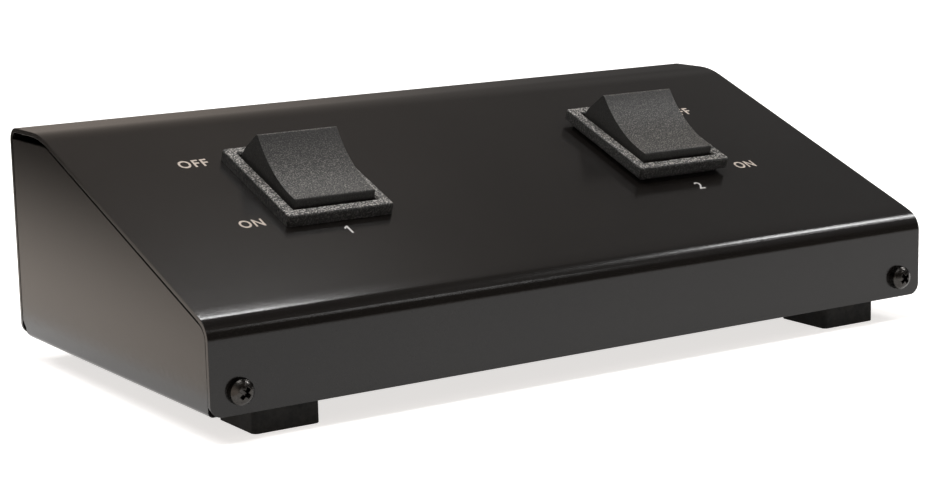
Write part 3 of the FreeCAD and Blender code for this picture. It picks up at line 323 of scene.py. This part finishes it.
def print_ink(name, thin_colour, full_colour):
    """Pale screen print, a little thin in places."""
    ink = Shader(name, IOR=1.45, Specular_IOR_Level=0.3)
    cover = ink.noise(0.45 * MM, 3, 0.65)
    ink.set("Base Color", ink.mix(ink.span(cover, 0.3, 0.7), thin_colour, full_colour))
    ink.set("Roughness", ink.span(cover, 0.3, 0.7, 0.55, 0.75))
    ink.bump((cover, 0.01 * MM))
    return ink.material


FINISHES = {
    "case_paint": powder_coat(),
    "foot_rubber": foot_rubber(),
    "black_screw": blackened_steel(),
    # Both grained plastics carry a painted glint on faces that look up.
    "switch_plastic": grained_plastic(
        "coarse_grain_bezel_plastic", (0.009, 0.009, 0.009), (0.016, 0.016, 0.015),
        glint_colour=(0.64, 0.61, 0.57), glint_spread=0.105, grain=0.40 * MM, relief=0.16 * MM,
        rough=0.40, on_sides=0.12),
    "rocker_plastic": grained_plastic(
        "fine_grain_rocker_plastic", (0.010, 0.0097, 0.009), (0.015, 0.0145, 0.0135),
        glint_colour=(0.225, 0.209, 0.190), glint_spread=0.10, grain=0.27 * MM, relief=0.06 * MM,
        rough=0.50, on_sides=0.10),
    "plunger_plastic": moulded("natural_nylon", (0.66, 0.63, 0.55), (0.78, 0.76, 0.69), 0.42),
    "spring_steel": metal("drawn_spring_steel", (0.42, 0.42, 0.42), (0.62, 0.61, 0.6), 0.28, (1, 0.2, 0.2)),
    "contact_brass": metal("rolled_contact_brass", (0.56, 0.4, 0.17), (0.78, 0.6, 0.3), 0.26, (0.3, 1, 1)),
    "block_plastic": moulded("terminal_block_plastic", (0.011, 0.011, 0.011), (0.022, 0.022, 0.022), 0.42),
    "lever_red": moulded("red_lever_plastic", (0.40, 0.012, 0.010), (0.52, 0.024, 0.018), 0.3),
    "lever_black": moulded("black_lever_plastic", (0.012, 0.012, 0.012), (0.022, 0.022, 0.022), 0.3),
    "wire": moulded("red_wire_insulation", (0.36, 0.012, 0.010), (0.5, 0.02, 0.016), 0.35),
}
RETURN_WIRE = moulded("black_wire_insulation", (0.012, 0.012, 0.012), (0.02, 0.02, 0.02), 0.35)
INK = print_ink("cream_screen_print", (0.36, 0.31, 0.27), (0.62, 0.54, 0.47))
WHITE_INK = print_ink("white_screen_print", (0.46, 0.45, 0.44), (0.68, 0.66, 0.64))
SLOTS = {part["node"]: part["material_slot"] for part in frame["record"]["subparts"]}


# ---------------------------------------------------------------- finished pieces

WELD = 0.001 * MM          # corners nearer than this are one
FLAT_WITHIN = 0.5          # degrees between facets that are one face
SHARP_OVER = 32            # degrees between faces whose edge is rounded
SCREW_SHARP_OVER = 35


def round_edges(piece, edge, segments, sharp_over, **settings):
    """Modifiers that round a piece's sharp edges by edge metres and keep its flat faces even."""
    if edge > 0:
        rounding = piece.modifiers.new("rounded_edges", "BEVEL")
        rounding.width = edge
        rounding.segments = segments
        rounding.limit_method = "ANGLE"
        rounding.angle_limit = math.radians(sharp_over)
        for key, value in settings.items():
            setattr(rounding, key, value)
    piece.modifiers.new("flat_faces", "WEIGHTED_NORMAL").keep_sharp = True


def finish(piece, node):
    """A piece's plain mesh, with its material and slot."""
    mesh = evaluated_mesh(piece)
    piece.modifiers.clear()
    piece.data = mesh
    mesh.materials.clear()
    mesh.materials.append(FINISHES[SLOTS[node]])


def finished(node, edge, segments=2, rework=None):
    """A piece in place of a CAD node: its facets joined up, its edges rounded and its bends smooth.

    rework changes the joined-up shape before its edges are rounded.
    """
    source = frame["nodes"][node]
    mesh = source.data.copy()
    shape = bmesh.new()
    shape.from_mesh(mesh)
    bmesh.ops.remove_doubles(shape, verts=shape.verts, dist=WELD)
    bmesh.ops.dissolve_limit(shape, angle_limit=math.radians(FLAT_WITHIN), verts=shape.verts,
                             edges=shape.edges)
    if rework:
        rework(shape)
    for face in shape.faces:
        face.smooth = True
    shape.to_mesh(mesh)
    shape.free()
    if "custom_normal" in mesh.attributes:
        mesh.attributes.remove(mesh.attributes["custom_normal"])
    mesh.name = node + "_finished"
    piece = put_in_scene(node + "_finished", mesh)
    round_edges(piece, edge, segments, SHARP_OVER, miter_outer="MITER_ARC")
    finish(piece, node)
    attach(piece, source["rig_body"])
    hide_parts(node)
    return piece


# The case's two sheets.
COVER_EDGE = 0.30 * MM     # rounding of its cut edges
TRAY_EDGE = 0.22 * MM
SHARPER_BY = 0.9 * MM      # off the radius at the foot of the tray's sides
PANEL_END = 1.4 * MM       # from the cover's front to the side panels' front ends
CLOSER_BY = 0.33 * MM      # how far those ends come forward
SLOPE_GAP = 0.42 * MM      # left between the side panels and the inside of the slope
END_GAP = 0.07 * MM        # left between them and the inside of the nose, where it meets the front
CORNER_CUTS = 7            # of the side panels' corners, which follow the nose
NOSE_CUTS = 14             # strips that the nose is made of
CROWN_CUTS = 6             # strips that the crown is made of
CROWN_REACH = 3.2 * MM     # of the crown, up the slope from the nose
CROWN_SINK = 0.08 * MM     # of the slope at the nose, under its straight line
HAIR = 0.01 * MM           # nearer than this counts as there


def turned(point):
    """The angle that the nose has turned at a point: 0 at the front panel, nose_turn at the slope."""
    return math.atan2(point.z - nose_centre.z, nose_centre.y - point.y)


def from_axis(point):
    """The way to a point from the axis of the nose."""
    return point - Vector((point.x, nose_centre.y, nose_centre.z))


def crisp_tray(shape):
    """The tray with a sharper bend at the foot of its sides, and side panels close under the cover."""
    def on_panel(point):
        return abs(point.x) > cover_high.x - TRAY_BEND

    def at_corner(point):
        return on_panel(point) and point.z > nose_centre.z and point.y < nose_centre.y + HAIR

    corner = [edge for edge in shape.edges if all(at_corner(vertex.co) for vertex in edge.verts)
              and abs(edge.verts[0].co.y - edge.verts[1].co.y) > TRAY_BEND]
    bmesh.ops.subdivide_edges(shape, edges=corner, cuts=CORNER_CUTS)
    inside = NOSE_BEND - SHEET
    for vertex in shape.verts:
        point = vertex.co
        side = math.copysign(1.0, point.x)
        bend = Vector((side * (cover_high.x - TRAY_BEND), point.y, tray_bottom + TRAY_BEND))
        away = point - bend
        if away.x * side >= 0 and away.z <= 0 and away.length > HAIR:
            corner_of_bend = bend + Vector((side, 0, -1)) * SHARPER_BY
            point = corner_of_bend + away.normalized() * (away.length - SHARPER_BY)
        if on_panel(point):
            out = from_axis(point)
            under = inside - out.dot(off_slope)
            by_slope = SLOPE_GAP < under < 4 * SLOPE_GAP
            if at_corner(point) and turned(point) < nose_turn:
                gap = END_GAP + (SLOPE_GAP - END_GAP) * turned(point) / nose_turn
                point = point + out.normalized() * (inside - gap - out.length)
            elif point.y < cover_low.y + 2 * PANEL_END:
                point.y -= CLOSER_BY
            elif by_slope and point.z > tray_bottom + SIDE_TOP - HAIR:
                point.y -= (under - SLOPE_GAP) / math.sin(slope_rise)
            elif by_slope:
                point = point + off_slope * (under - SLOPE_GAP)
        vertex.co = point


def crowned_cover(shape):
    """The cover with a truly round nose, and above it the faint crown that bending leaves."""
    def run_of(point):
        return (point - nose_corner).dot(up_slope)

    def in_nose(point):
        return point.z > nose_centre.z - HAIR and run_of(point) < nose_foot + HAIR

    def cut(faces, at, square_to):
        edges = list({edge for face in faces for edge in face.edges})
        corners = list({vertex for face in faces for vertex in face.verts})
        bmesh.ops.bisect_plane(shape, geom=faces + edges + corners, dist=HAIR / 10, plane_co=at,
                               plane_no=square_to)

    for step in range(1, NOSE_CUTS):
        angle = nose_turn * step / NOSE_CUTS
        cut([face for face in shape.faces if all(in_nose(vertex.co) for vertex in face.verts)],
            nose_centre, Vector((0, math.sin(angle), math.cos(angle))))
    for vertex in shape.verts:
        if in_nose(vertex.co):
            out = from_axis(vertex.co)
            radius = NOSE_BEND if out.length > NOSE_BEND - SHEET / 2 else NOSE_BEND - SHEET
            vertex.co += out.normalized() * (radius - out.length)
    for step in range(1, CROWN_CUTS + 1):
        cut([face for face in shape.faces if abs(face.normal.dot(off_slope)) > 0.9999],
            nose_corner + up_slope * (nose_foot + CROWN_REACH * step / CROWN_CUTS), up_slope)
    for vertex in shape.verts:
        left = (nose_foot + CROWN_REACH - run_of(vertex.co)) / CROWN_REACH
        if vertex.co.z < nose_centre.z - HAIR or left < 0:
            continue
        if left <= 1 + HAIR / CROWN_REACH:
            sink = CROWN_SINK * left ** 2
        else:
            # Round the nose the sink fades out, and leaves the slope at the crown's own rate.
            gone = 1 - turned(vertex.co) / nose_turn
            rate = 2 * CROWN_SINK / CROWN_REACH * NOSE_BEND * nose_turn
            sink = (CROWN_SINK * (2 * gone ** 3 - 3 * gone ** 2 + 1)
                    + rate * (gone ** 3 - 2 * gone ** 2 + gone))
        vertex.co -= off_slope * sink


SHEETS = ("top_cover", "base_tray")
finished("top_cover", COVER_EDGE, 3, crowned_cover)
finished("base_tray", TRAY_EDGE, 3, crisp_tray)

# Housings, rockers, terminal blocks, levers and feet.
MOULDED_EDGE = 0.12 * MM
MOULDED = sorted(node for node in frame["nodes"] if "lever" in node or node.startswith("foot_")
                 or node.endswith(("_housing", "_rocker", "_block")))
for node in MOULDED:
    finished(node, MOULDED_EDGE)

# Plunger springs, each with a mesh of its own; in the switch they shorten towards the roof of their bore as
# the plungers go in.
SPRINGS = sorted(node for node in frame["nodes"] if node.endswith("_plunger_springs"))
for node in SPRINGS:
    spring = finished(node, 0)
    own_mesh(spring)


# ---------------------------------------------------------------- screws

SCREW_EDGE = 0.07 * MM
SCREW_SIZES = ("Head Diameter", "Head Height", "Shank Diameter", "Shank Length", "Recess Span",
               "Recess Slot", "Recess Depth", "Turn", "Turn Spread")
HEAD_DRAFT = 0.94          # of a head's width left at its top
DOME_POWER = 3.2           # higher makes the dome flatter in the middle
RECESS_ENDS = 0.42         # of the recess's length left at its bottom
RECESS_FLANKS = 0.75       # of its width left there


def screw_tree():
    """A tree that sets a pan-head screw with a tapered cross recess on each point of its mesh."""
    tree = bpy.data.node_groups.new("pan_head_screws", "GeometryNodeTree")
    face = tree.interface
    face.new_socket("Places", in_out="INPUT", socket_type="NodeSocketGeometry")
    for label in SCREW_SIZES:
        face.new_socket(label, in_out="INPUT", socket_type="NodeSocketFloat")
    face.new_socket("Seed", in_out="INPUT", socket_type="NodeSocketInt")
    face.new_socket("Material", in_out="INPUT", socket_type="NodeSocketMaterial")
    face.new_socket("Screws", in_out="OUTPUT", socket_type="NodeSocketGeometry")
    given = tree.nodes.new("NodeGroupInput").outputs

    def node(kind, inputs=None, **settings):
        made = tree.nodes.new(kind)
        for key, value in settings.items():
            setattr(made, key, value)
        for key, value in (inputs or {}).items():
            feed(tree, made.inputs[key], value)
        return made

    def joined(operation, first, second=0.0):
        return combined(tree, operation, first, second)

    def point(x, y, z):
        return node("ShaderNodeCombineXYZ", {0: x, 1: y, 2: z}).outputs[0]

    here = axes_of(tree, node("GeometryNodeInputPosition").outputs[0])
    height = given["Head Height"]
    half = joined("MULTIPLY", height, 0.5)
    radius = joined("MULTIPLY", given["Head Diameter"], 0.5)

    # The head: a short cylinder whose sides draw in and whose top swells to a dome.
    blank = node("GeometryNodeMeshCylinder", {"Vertices": 48, "Side Segments": 3, "Fill Segments": 9,
                                              "Radius": radius, "Depth": height})
    up = joined("DIVIDE", joined("ADD", here[2], half), height)
    square = joined("ADD", joined("MULTIPLY", here[0], here[0]), joined("MULTIPLY", here[1], here[1]))
    out = joined("DIVIDE", joined("SQRT", square), radius)
    dome = joined("MULTIPLY", joined("SUBTRACT", 1.0, joined("POWER", out, DOME_POWER)),
                  joined("GREATER_THAN", up, 0.999))
    raised = joined("MULTIPLY", half, joined("ADD", up, dome))
    draft = spread(tree, up, 0.0, 1.0, 1.0, HEAD_DRAFT)
    head = node("GeometryNodeSetPosition", {
        "Geometry": blank.outputs["Mesh"],
        "Position": point(joined("MULTIPLY", here[0], draft), joined("MULTIPLY", here[1], draft), raised)})

    # The recess: two crossing bars that taper downwards, cut from the head.
    depth = given["Recess Depth"]
    bar = node("GeometryNodeMeshCube", {
        "Size": point(given["Recess Span"], given["Recess Slot"], joined("MULTIPLY", depth, 2.0))})
    bottom = joined("MULTIPLY", depth, -1.0)
    narrow = spread(tree, here[2], bottom, 0.0, RECESS_ENDS, 1.0)
    flank = spread(tree, here[2], bottom, 0.0, RECESS_FLANKS, 1.0)
    tapered = node("GeometryNodeSetPosition", {
        "Geometry": bar.outputs["Mesh"],
        "Position": point(joined("MULTIPLY", here[0], narrow), joined("MULTIPLY", here[1], flank),
                          here[2])})
    lifted = node("GeometryNodeTransform", {"Geometry": tapered.outputs[0],
                                            "Translation": point(0.0, 0.0, height)})
    crossing = node("GeometryNodeTransform", {"Geometry": lifted.outputs[0],
                                              "Rotation": (0, 0, math.radians(90))})
    cutter = node("GeometryNodeMeshBoolean", operation="UNION", solver="EXACT")
    tree.links.new(lifted.outputs[0], cutter.inputs["Mesh 2"])
    tree.links.new(crossing.outputs[0], cutter.inputs["Mesh 2"])
    cut = node("GeometryNodeMeshBoolean", {"Mesh 1": head.outputs[0], "Mesh 2": cutter.outputs["Mesh"]},
               operation="DIFFERENCE", solver="EXACT")
    clean = node("GeometryNodeMergeByDistance", {"Geometry": cut.outputs["Mesh"], "Distance": 0.02 * MM})

    # The shank, from the seat down.
    pin = node("GeometryNodeMeshCylinder", {
        "Vertices": 24, "Radius": joined("MULTIPLY", given["Shank Diameter"], 0.5),
        "Depth": given["Shank Length"]})
    down = node("GeometryNodeTransform", {
        "Geometry": pin.outputs["Mesh"],
        "Translation": point(0.0, 0.0, joined("MULTIPLY", given["Shank Length"], -0.5))})
    screw = node("GeometryNodeJoinGeometry")
    tree.links.new(clean.outputs["Geometry"], screw.inputs[0])
    tree.links.new(down.outputs[0], screw.inputs[0])

    # Each screw stands along facing, with its own turn of the driver.
    way = node("GeometryNodeInputNamedAttribute", {"Name": "facing"}, data_type="FLOAT_VECTOR")
    upright = node("FunctionNodeAlignRotationToVector", {"Vector": way.outputs["Attribute"]}, axis="Z")
    stray = node("FunctionNodeRandomValue", {
        2: joined("MULTIPLY", given["Turn Spread"], -1.0), 3: given["Turn Spread"],
        "Seed": given["Seed"]}, data_type="FLOAT")
    angle = joined("ADD", given["Turn"], stray.outputs[1])
    own = node("FunctionNodeAxisAngleToRotation", {"Axis": (0, 0, 1), "Angle": angle})
    facing = node("FunctionNodeRotateRotation", {"Rotation": upright.outputs[0],
                                                 "Rotate By": own.outputs[0]}, rotation_space="LOCAL")
    placed = node("GeometryNodeInstanceOnPoints", {"Points": given["Places"], "Instance": screw.outputs[0],
                                                   "Rotation": facing.outputs[0]})
    real = node("GeometryNodeRealizeInstances", {"Geometry": placed.outputs[0]})
    coloured = node("GeometryNodeSetMaterial", {"Geometry": real.outputs[0], "Material": given["Material"]})
    tree.links.new(coloured.outputs[0], tree.nodes.new("NodeGroupOutput").inputs[0])
    return tree


SCREW_TREE = screw_tree()


def as_screws(nodes, sizes):
    """One piece in place of screw nodes, with a screw where each node is."""
    spots, ways = [], []
    for node in nodes:
        low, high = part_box(node)
        forward = (low.y + high.y) / 2 < cover_middle
        seat = low.y + sizes["Head Height"] if forward else high.y - sizes["Head Height"]
        spots.append(((low.x + high.x) / 2, seat, (low.z + high.z) / 2))
        ways.append((0, -1, 0) if forward else (0, 1, 0))
    mesh = bpy.data.meshes.new("screw_places")
    mesh.from_pydata(spots, [], [])
    facing = mesh.attributes.new("facing", "FLOAT_VECTOR", "POINT")
    for item, way in zip(facing.data, ways):
        item.vector = way
    piece = put_in_scene(nodes[0].split("_screw")[0] + "_screws_finished", mesh)
    turner = piece.modifiers.new("pan_head_screws", "NODES")
    turner.node_group = SCREW_TREE
    values = {"Turn": math.radians(45), "Turn Spread": math.radians(9), "Seed": 4,
              "Material": FINISHES["black_screw"], **sizes}
    for socket in SCREW_TREE.interface.items_tree:
        if socket.in_out == "INPUT" and socket.name in values:
            turner[socket.identifier] = values[socket.name]
    round_edges(piece, SCREW_EDGE, 2, SCREW_SHARP_OVER)
    finish(piece, nodes[0])
    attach(piece, "case")
    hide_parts(*nodes)


COVER_SCREWS = sorted(node for node in frame["nodes"] if node.startswith("cover_screw"))
BLOCK_SCREWS = sorted(node for node in frame["nodes"] if "screw" in node and node not in COVER_SCREWS)
as_screws(COVER_SCREWS, {
    "Head Diameter": 5.5 * MM, "Head Height": 2.4 * MM, "Shank Diameter": 2.9 * MM, "Shank Length": 6 * MM,
    "Recess Span": 3.9 * MM, "Recess Slot": 1.0 * MM, "Recess Depth": 1.3 * MM})
as_screws(BLOCK_SCREWS, {
    "Head Diameter": 4.6 * MM, "Head Height": 1.7 * MM, "Shank Diameter": 2.5 * MM, "Shank Length": 6 * MM,
    "Recess Span": 3.0 * MM, "Recess Slot": 0.8 * MM, "Recess Depth": 1.0 * MM})

# The nodes that keep their own mesh.
for node, item in sorted(frame["nodes"].items()):
    if node in SHEETS or node in MOULDED or node in SPRINGS or "screw" in node:
        continue
    item.data.materials.clear()
    item.data.materials.append(RETURN_WIRE if node == "return_wires" else FINISHES[SLOTS[node]])


# ---------------------------------------------------------------- print

INK_LIFT = 0.02 * MM
RIGHTWARD = Vector((1, 0, 0))
UPWARD = Vector((0, 0, 1))
NUMERAL_ONE = ((0.32, 0.0), (0.47, 0.0), (0.47, 1.0), (0.36, 1.0), (0.10, 0.79), (0.10, 0.62), (0.32, 0.78))
MINUS = ((0, 0.4), (1, 0.4), (1, 0.6), (0, 0.6))
PLUS = ((0.4, 0), (0.6, 0), (0.6, 0.4), (1, 0.4), (1, 0.6), (0.6, 0.6), (0.6, 1), (0.4, 1), (0.4, 0.6),
        (0, 0.6), (0, 0.4), (0.4, 0.4))


def letters(words, bold=0.018):
    """A flat mesh of words, their strokes made bolder by bold of their size."""
    curve = bpy.data.curves.new("letters", "FONT")
    curve.body = words
    curve.align_x = "CENTER"
    curve.align_y = "CENTER"
    curve.offset = bold
    curve.space_character = 1.15
    curve.resolution_u = 6
    holder = put_in_scene("letters", curve)
    mesh = evaluated_mesh(holder)
    bpy.data.objects.remove(holder)
    return mesh


def outline(points):
    """A flat mesh of one outline."""
    return flat_mesh("outline", [(x, y, 0) for x, y in points])


def printed(name, mesh, ink, spot, across, upward, height, wide=1.0):
    """A flat mesh printed with its middle at spot, height metres high and read along across."""
    xs = [vertex.co.x for vertex in mesh.vertices]
    ys = [vertex.co.y for vertex in mesh.vertices]
    middle = Vector(((min(xs) + max(xs)) / 2, (min(ys) + max(ys)) / 2, 0))
    size = height / (max(ys) - min(ys))
    out = across.cross(upward)
    axes = Matrix((across, upward, out)).transposed()
    for vertex in mesh.vertices:
        flat = vertex.co - middle
        flat.x *= wide
        vertex.co = spot + out * INK_LIFT + axes @ (flat * size)
    mesh.name = name
    mesh.materials.clear()
    mesh.materials.append(ink)
    piece = put_in_scene(name, mesh)
    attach(piece, "case")
    return piece


# By the switches: name, mesh, ink, metres right of the slope's middle and up from its nose corner,
# height, and width as a share of the letters' own.
for name, mesh, ink, aside, run, height, wide in (
        ("print_off_1", letters("OFF"), INK, -65.0 * MM, 61.5 * MM, 3.2 * MM, 0.86),
        ("print_on_1", letters("ON"), INK, -64.8 * MM, 34.5 * MM, 3.0 * MM, 0.86),
        ("print_on_2", letters("ON"), INK, 65.0 * MM, 32.5 * MM, 3.0 * MM, 0.86),
        ("print_off_2", letters("OFF"), INK, 65.9 * MM, 60.3 * MM, 3.2 * MM, 0.86),
        ("print_1", outline(NUMERAL_ONE), WHITE_INK, -45.8 * MM, 27.3 * MM, 3.0 * MM, 1.0),
        ("print_2", letters("2", 0.01), WHITE_INK, 46.5 * MM, 26.0 * MM, 3.0 * MM, 0.9)):
    spot = nose_corner + RIGHTWARD * aside + up_slope * run
    printed(name, mesh, ink, spot, RIGHTWARD, up_slope, height, wide)

# Under the wire entries: plus by the two outer levers of a block, minus by the two inner ones.
SIGN_DOWN = 9.9 * MM       # from the middle of a block's flange
SIGN_HEIGHT = 1.8 * MM
for node in sorted(node for node in frame["nodes"] if "_lever_" in node):
    block, number = node.split("_lever_")
    low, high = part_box(node)
    flange_low, flange_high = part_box(block + "_block")
    spot = Vector(((low.x + high.x) / 2, flange_high.y, (flange_low.z + flange_high.z) / 2 - SIGN_DOWN))
    if number in "14":
        printed("plus_" + block + "_" + number, outline(PLUS), WHITE_INK, spot, -RIGHTWARD, UPWARD,
                SIGN_HEIGHT)
    else:
        bar = printed("minus_" + block + "_" + number, outline(MINUS), WHITE_INK, spot, -RIGHTWARD,
                      UPWARD, SIGN_HEIGHT / 5)


# ---------------------------------------------------------------- floor and room

PAPER_HALF = 3.0           # half of its side
PAPER_GLOW = 0.72          # near the box
PAPER_FAR_GLOW = 1.0
GLOW_SPAN = (0.3, 1.0)     # metres from the middle over which the one turns into the other
ROOM_MIDDLE = 0.45         # low, a little right of the middle
ROOM_RIGHT = 0.09
ROOM_LEFT = 0.15           # share of the middle's light
ROOM_FALL = 0.25           # share of the light left higher up
ROOM_HAZE = 0.19           # added there
ROOM_CEILING = 0.3         # share of the light left overhead


def seen_directly(tree):
    """1 for camera, glossy and transmission rays, and 0 for light that falls on the object."""
    path = tree.nodes.new("ShaderNodeLightPath").outputs
    either = combined(tree, "MAXIMUM", path["Is Camera Ray"], path["Is Glossy Ray"])
    return combined(tree, "MAXIMUM", either, path["Is Transmission Ray"])


def paper():
    """The pale sheet that the box stands on: white to the camera, with the box's shadow left on it."""
    material, tree, output = empty_material("pale_paper")
    lit = tree.nodes.new("ShaderNodeBsdfDiffuse")
    lit.inputs["Color"].default_value = (0.8, 0.8, 0.8, 1)
    glow = tree.nodes.new("ShaderNodeEmission")
    glow.inputs["Color"].default_value = (1.0, 0.975, 0.955, 1)
    away = tree.nodes.new("ShaderNodeVectorMath")
    away.operation = "LENGTH"
    tree.links.new(tree.nodes.new("ShaderNodeTexCoord").outputs["Object"], away.inputs[0])
    level = spread(tree, away.outputs["Value"], *GLOW_SPAN, PAPER_GLOW, PAPER_FAR_GLOW)
    feed(tree, glow.inputs["Strength"], combined(tree, "MULTIPLY", level, seen_directly(tree)))
    both = tree.nodes.new("ShaderNodeAddShader")
    tree.links.new(lit.outputs[0], both.inputs[0])
    tree.links.new(glow.outputs[0], both.inputs[1])
    tree.links.new(both.outputs[0], output.inputs["Surface"])
    return material


def floor():
    """A wide sheet of paper under the feet."""
    mesh = flat_mesh("floor", [(x * PAPER_HALF, y * PAPER_HALF, 0)
                               for x, y in ((-1, -1), (1, -1), (1, 1), (-1, 1))])
    mesh.materials.append(paper())
    put_in_scene("floor", mesh)


def room():
    """A dim warm room, lightest low and near the middle; dim at both sides, cooler at the right."""
    world = bpy.data.worlds.new("studio")
    bpy.context.scene.world = world
    world.use_nodes = True
    tree = world.node_tree
    background = tree.nodes["Background"]
    way = axes_of(tree, tree.nodes.new("ShaderNodeTexCoord").outputs["Generated"])

    def ramp(axis, low, high, at_low, at_high):
        return spread(tree, way[axis], low, high, at_low, at_high, soft=True)

    def product(first, second):
        return combined(tree, "MULTIPLY", first, second)

    level = product(ramp("X", 0.34, 0.62, ROOM_MIDDLE, ROOM_RIGHT), ramp("X", 0.05, 0.3, ROOM_LEFT, 1.0))
    level = product(level, ramp("Z", 0.25, 0.5, 1.0, ROOM_FALL))
    level = combined(tree, "ADD", level, ramp("Z", 0.25, 0.5, 0.0, ROOM_HAZE))
    level = product(level, ramp("Z", 0.74, 0.88, 1.0, ROOM_CEILING))
    feed(tree, background.inputs["Strength"], level)
    tint = mixed(tree, ramp("X", 0.4, 0.7, 0.0, 1.0), (1.0, 0.87, 0.77), (1.0, 0.99, 0.98))
    feed(tree, background.inputs["Color"], tint)


# ---------------------------------------------------------------- cards, lamps and camera

CARD_LOW = 1 * MM
CARD_HIGH = 120 * MM
CARD_TINT = (1.0, 0.885, 0.785, 1)
HANG = 0.556               # of the level lamps over the floor
CAMERA_PLACE = Vector((-279.288, -377.768, 111.760)) * MM    # from the middle of the front's foot
CAMERA_TURN = (1.38196, 0.0216444, -0.5804459)
FOCAL_LENGTH = 88.275
SENSOR_WIDTH = 36.0


def glowing_reflection_card(name, from_corner, to_corner, pale_to, dark_from, foot, top):
    """An upright glowing card that lights nothing and only gloss sees, a painted reflection: foot bright up
    to pale_to, top bright above dark_from.
    """
    (x0, y0), (x1, y1) = from_corner, to_corner
    mesh = flat_mesh(name, [(x0, y0, CARD_LOW), (x1, y1, CARD_LOW),
                            (x1, y1, CARD_HIGH), (x0, y0, CARD_HIGH)])
    graded, tree, output = empty_material(name)
    light = tree.nodes.new("ShaderNodeEmission")
    light.inputs["Color"].default_value = CARD_TINT
    place = axes_of(tree, tree.nodes.new("ShaderNodeTexCoord").outputs["Object"])
    feed(tree, light.inputs["Strength"], spread(tree, place["Z"], pale_to, dark_from, foot, top, soft=True))
    tree.links.new(light.outputs[0], output.inputs["Surface"])
    mesh.materials.append(graded)
    card = put_in_scene(name, mesh)
    card.visible_camera = False
    card.visible_diffuse = False
    card.visible_transmission = False
    card.visible_shadow = False


def lamp(name, place, aim, wide, deep, power, turn=0.0):
    """A soft box at place that faces aim, turned by turn about the upright."""
    light = bpy.data.lights.new(name, "AREA")
    light.shape = "RECTANGLE"
    light.size = wide
    light.size_y = deep
    light.energy = power
    item = put_in_scene(name, light)
    item.location = place
    facing = (Vector(aim) - Vector(place)).to_track_quat("-Z", "Y")
    item.rotation_euler = (Matrix.Rotation(turn, 4, "Z") @ facing.to_matrix().to_4x4()).to_euler()


def camera():
    """The camera, low and to the left of the front."""
    lens = bpy.data.cameras.new("camera")
    lens.sensor_width = SENSOR_WIDTH
    lens.lens = FOCAL_LENGTH
    lens.clip_start = 0.01
    item = put_in_scene("camera", lens)
    item.location = CAMERA_PLACE + Vector((0, cover_low.y, tray_bottom))
    item.rotation_euler = CAMERA_TURN
    bpy.context.scene.camera = item


floor()
room()
# Glowing cards that only gloss sees paint the reflections in the left side panel and the front: bright near
# the floor, dim higher up.
glowing_reflection_card("left_card", (-0.108, -0.25), (-0.108, 0.8),
            pale_to=5 * MM, dark_from=47 * MM, foot=1.42, top=0.11)
glowing_reflection_card("front_card", (-0.12, -0.20), (0.9, -0.20),
            pale_to=0, dark_from=30 * MM, foot=0.6, top=0.10)
lamp("top_key", (-0.15, -0.05, 0.8), (0, 0, 0), wide=0.5, deep=0.5, power=4.0)
# Lamps that hang level: name, x, y, width, depth, watts, and degrees turned.
for name, x, y, wide, deep, power, turn in (
        ("edge_light", -0.40, 0.42, 0.24, 0.24, 2.4, 0),
        ("rear_strip", 0.16, 0.20, 0.16, 0.06, 0.8, 0),
        ("right_box", 0.62, -0.13, 0.32, 0.09, 2.6, -14),
        ("front_spot", 0.40, -0.55, 0.20, 0.08, 0.34, 0)):
    lamp(name, (x, y, HANG), (x, y, 0), wide, deep, power, math.radians(turn))
camera()
bpy.context.scene.view_settings.view_transform = "Standard"
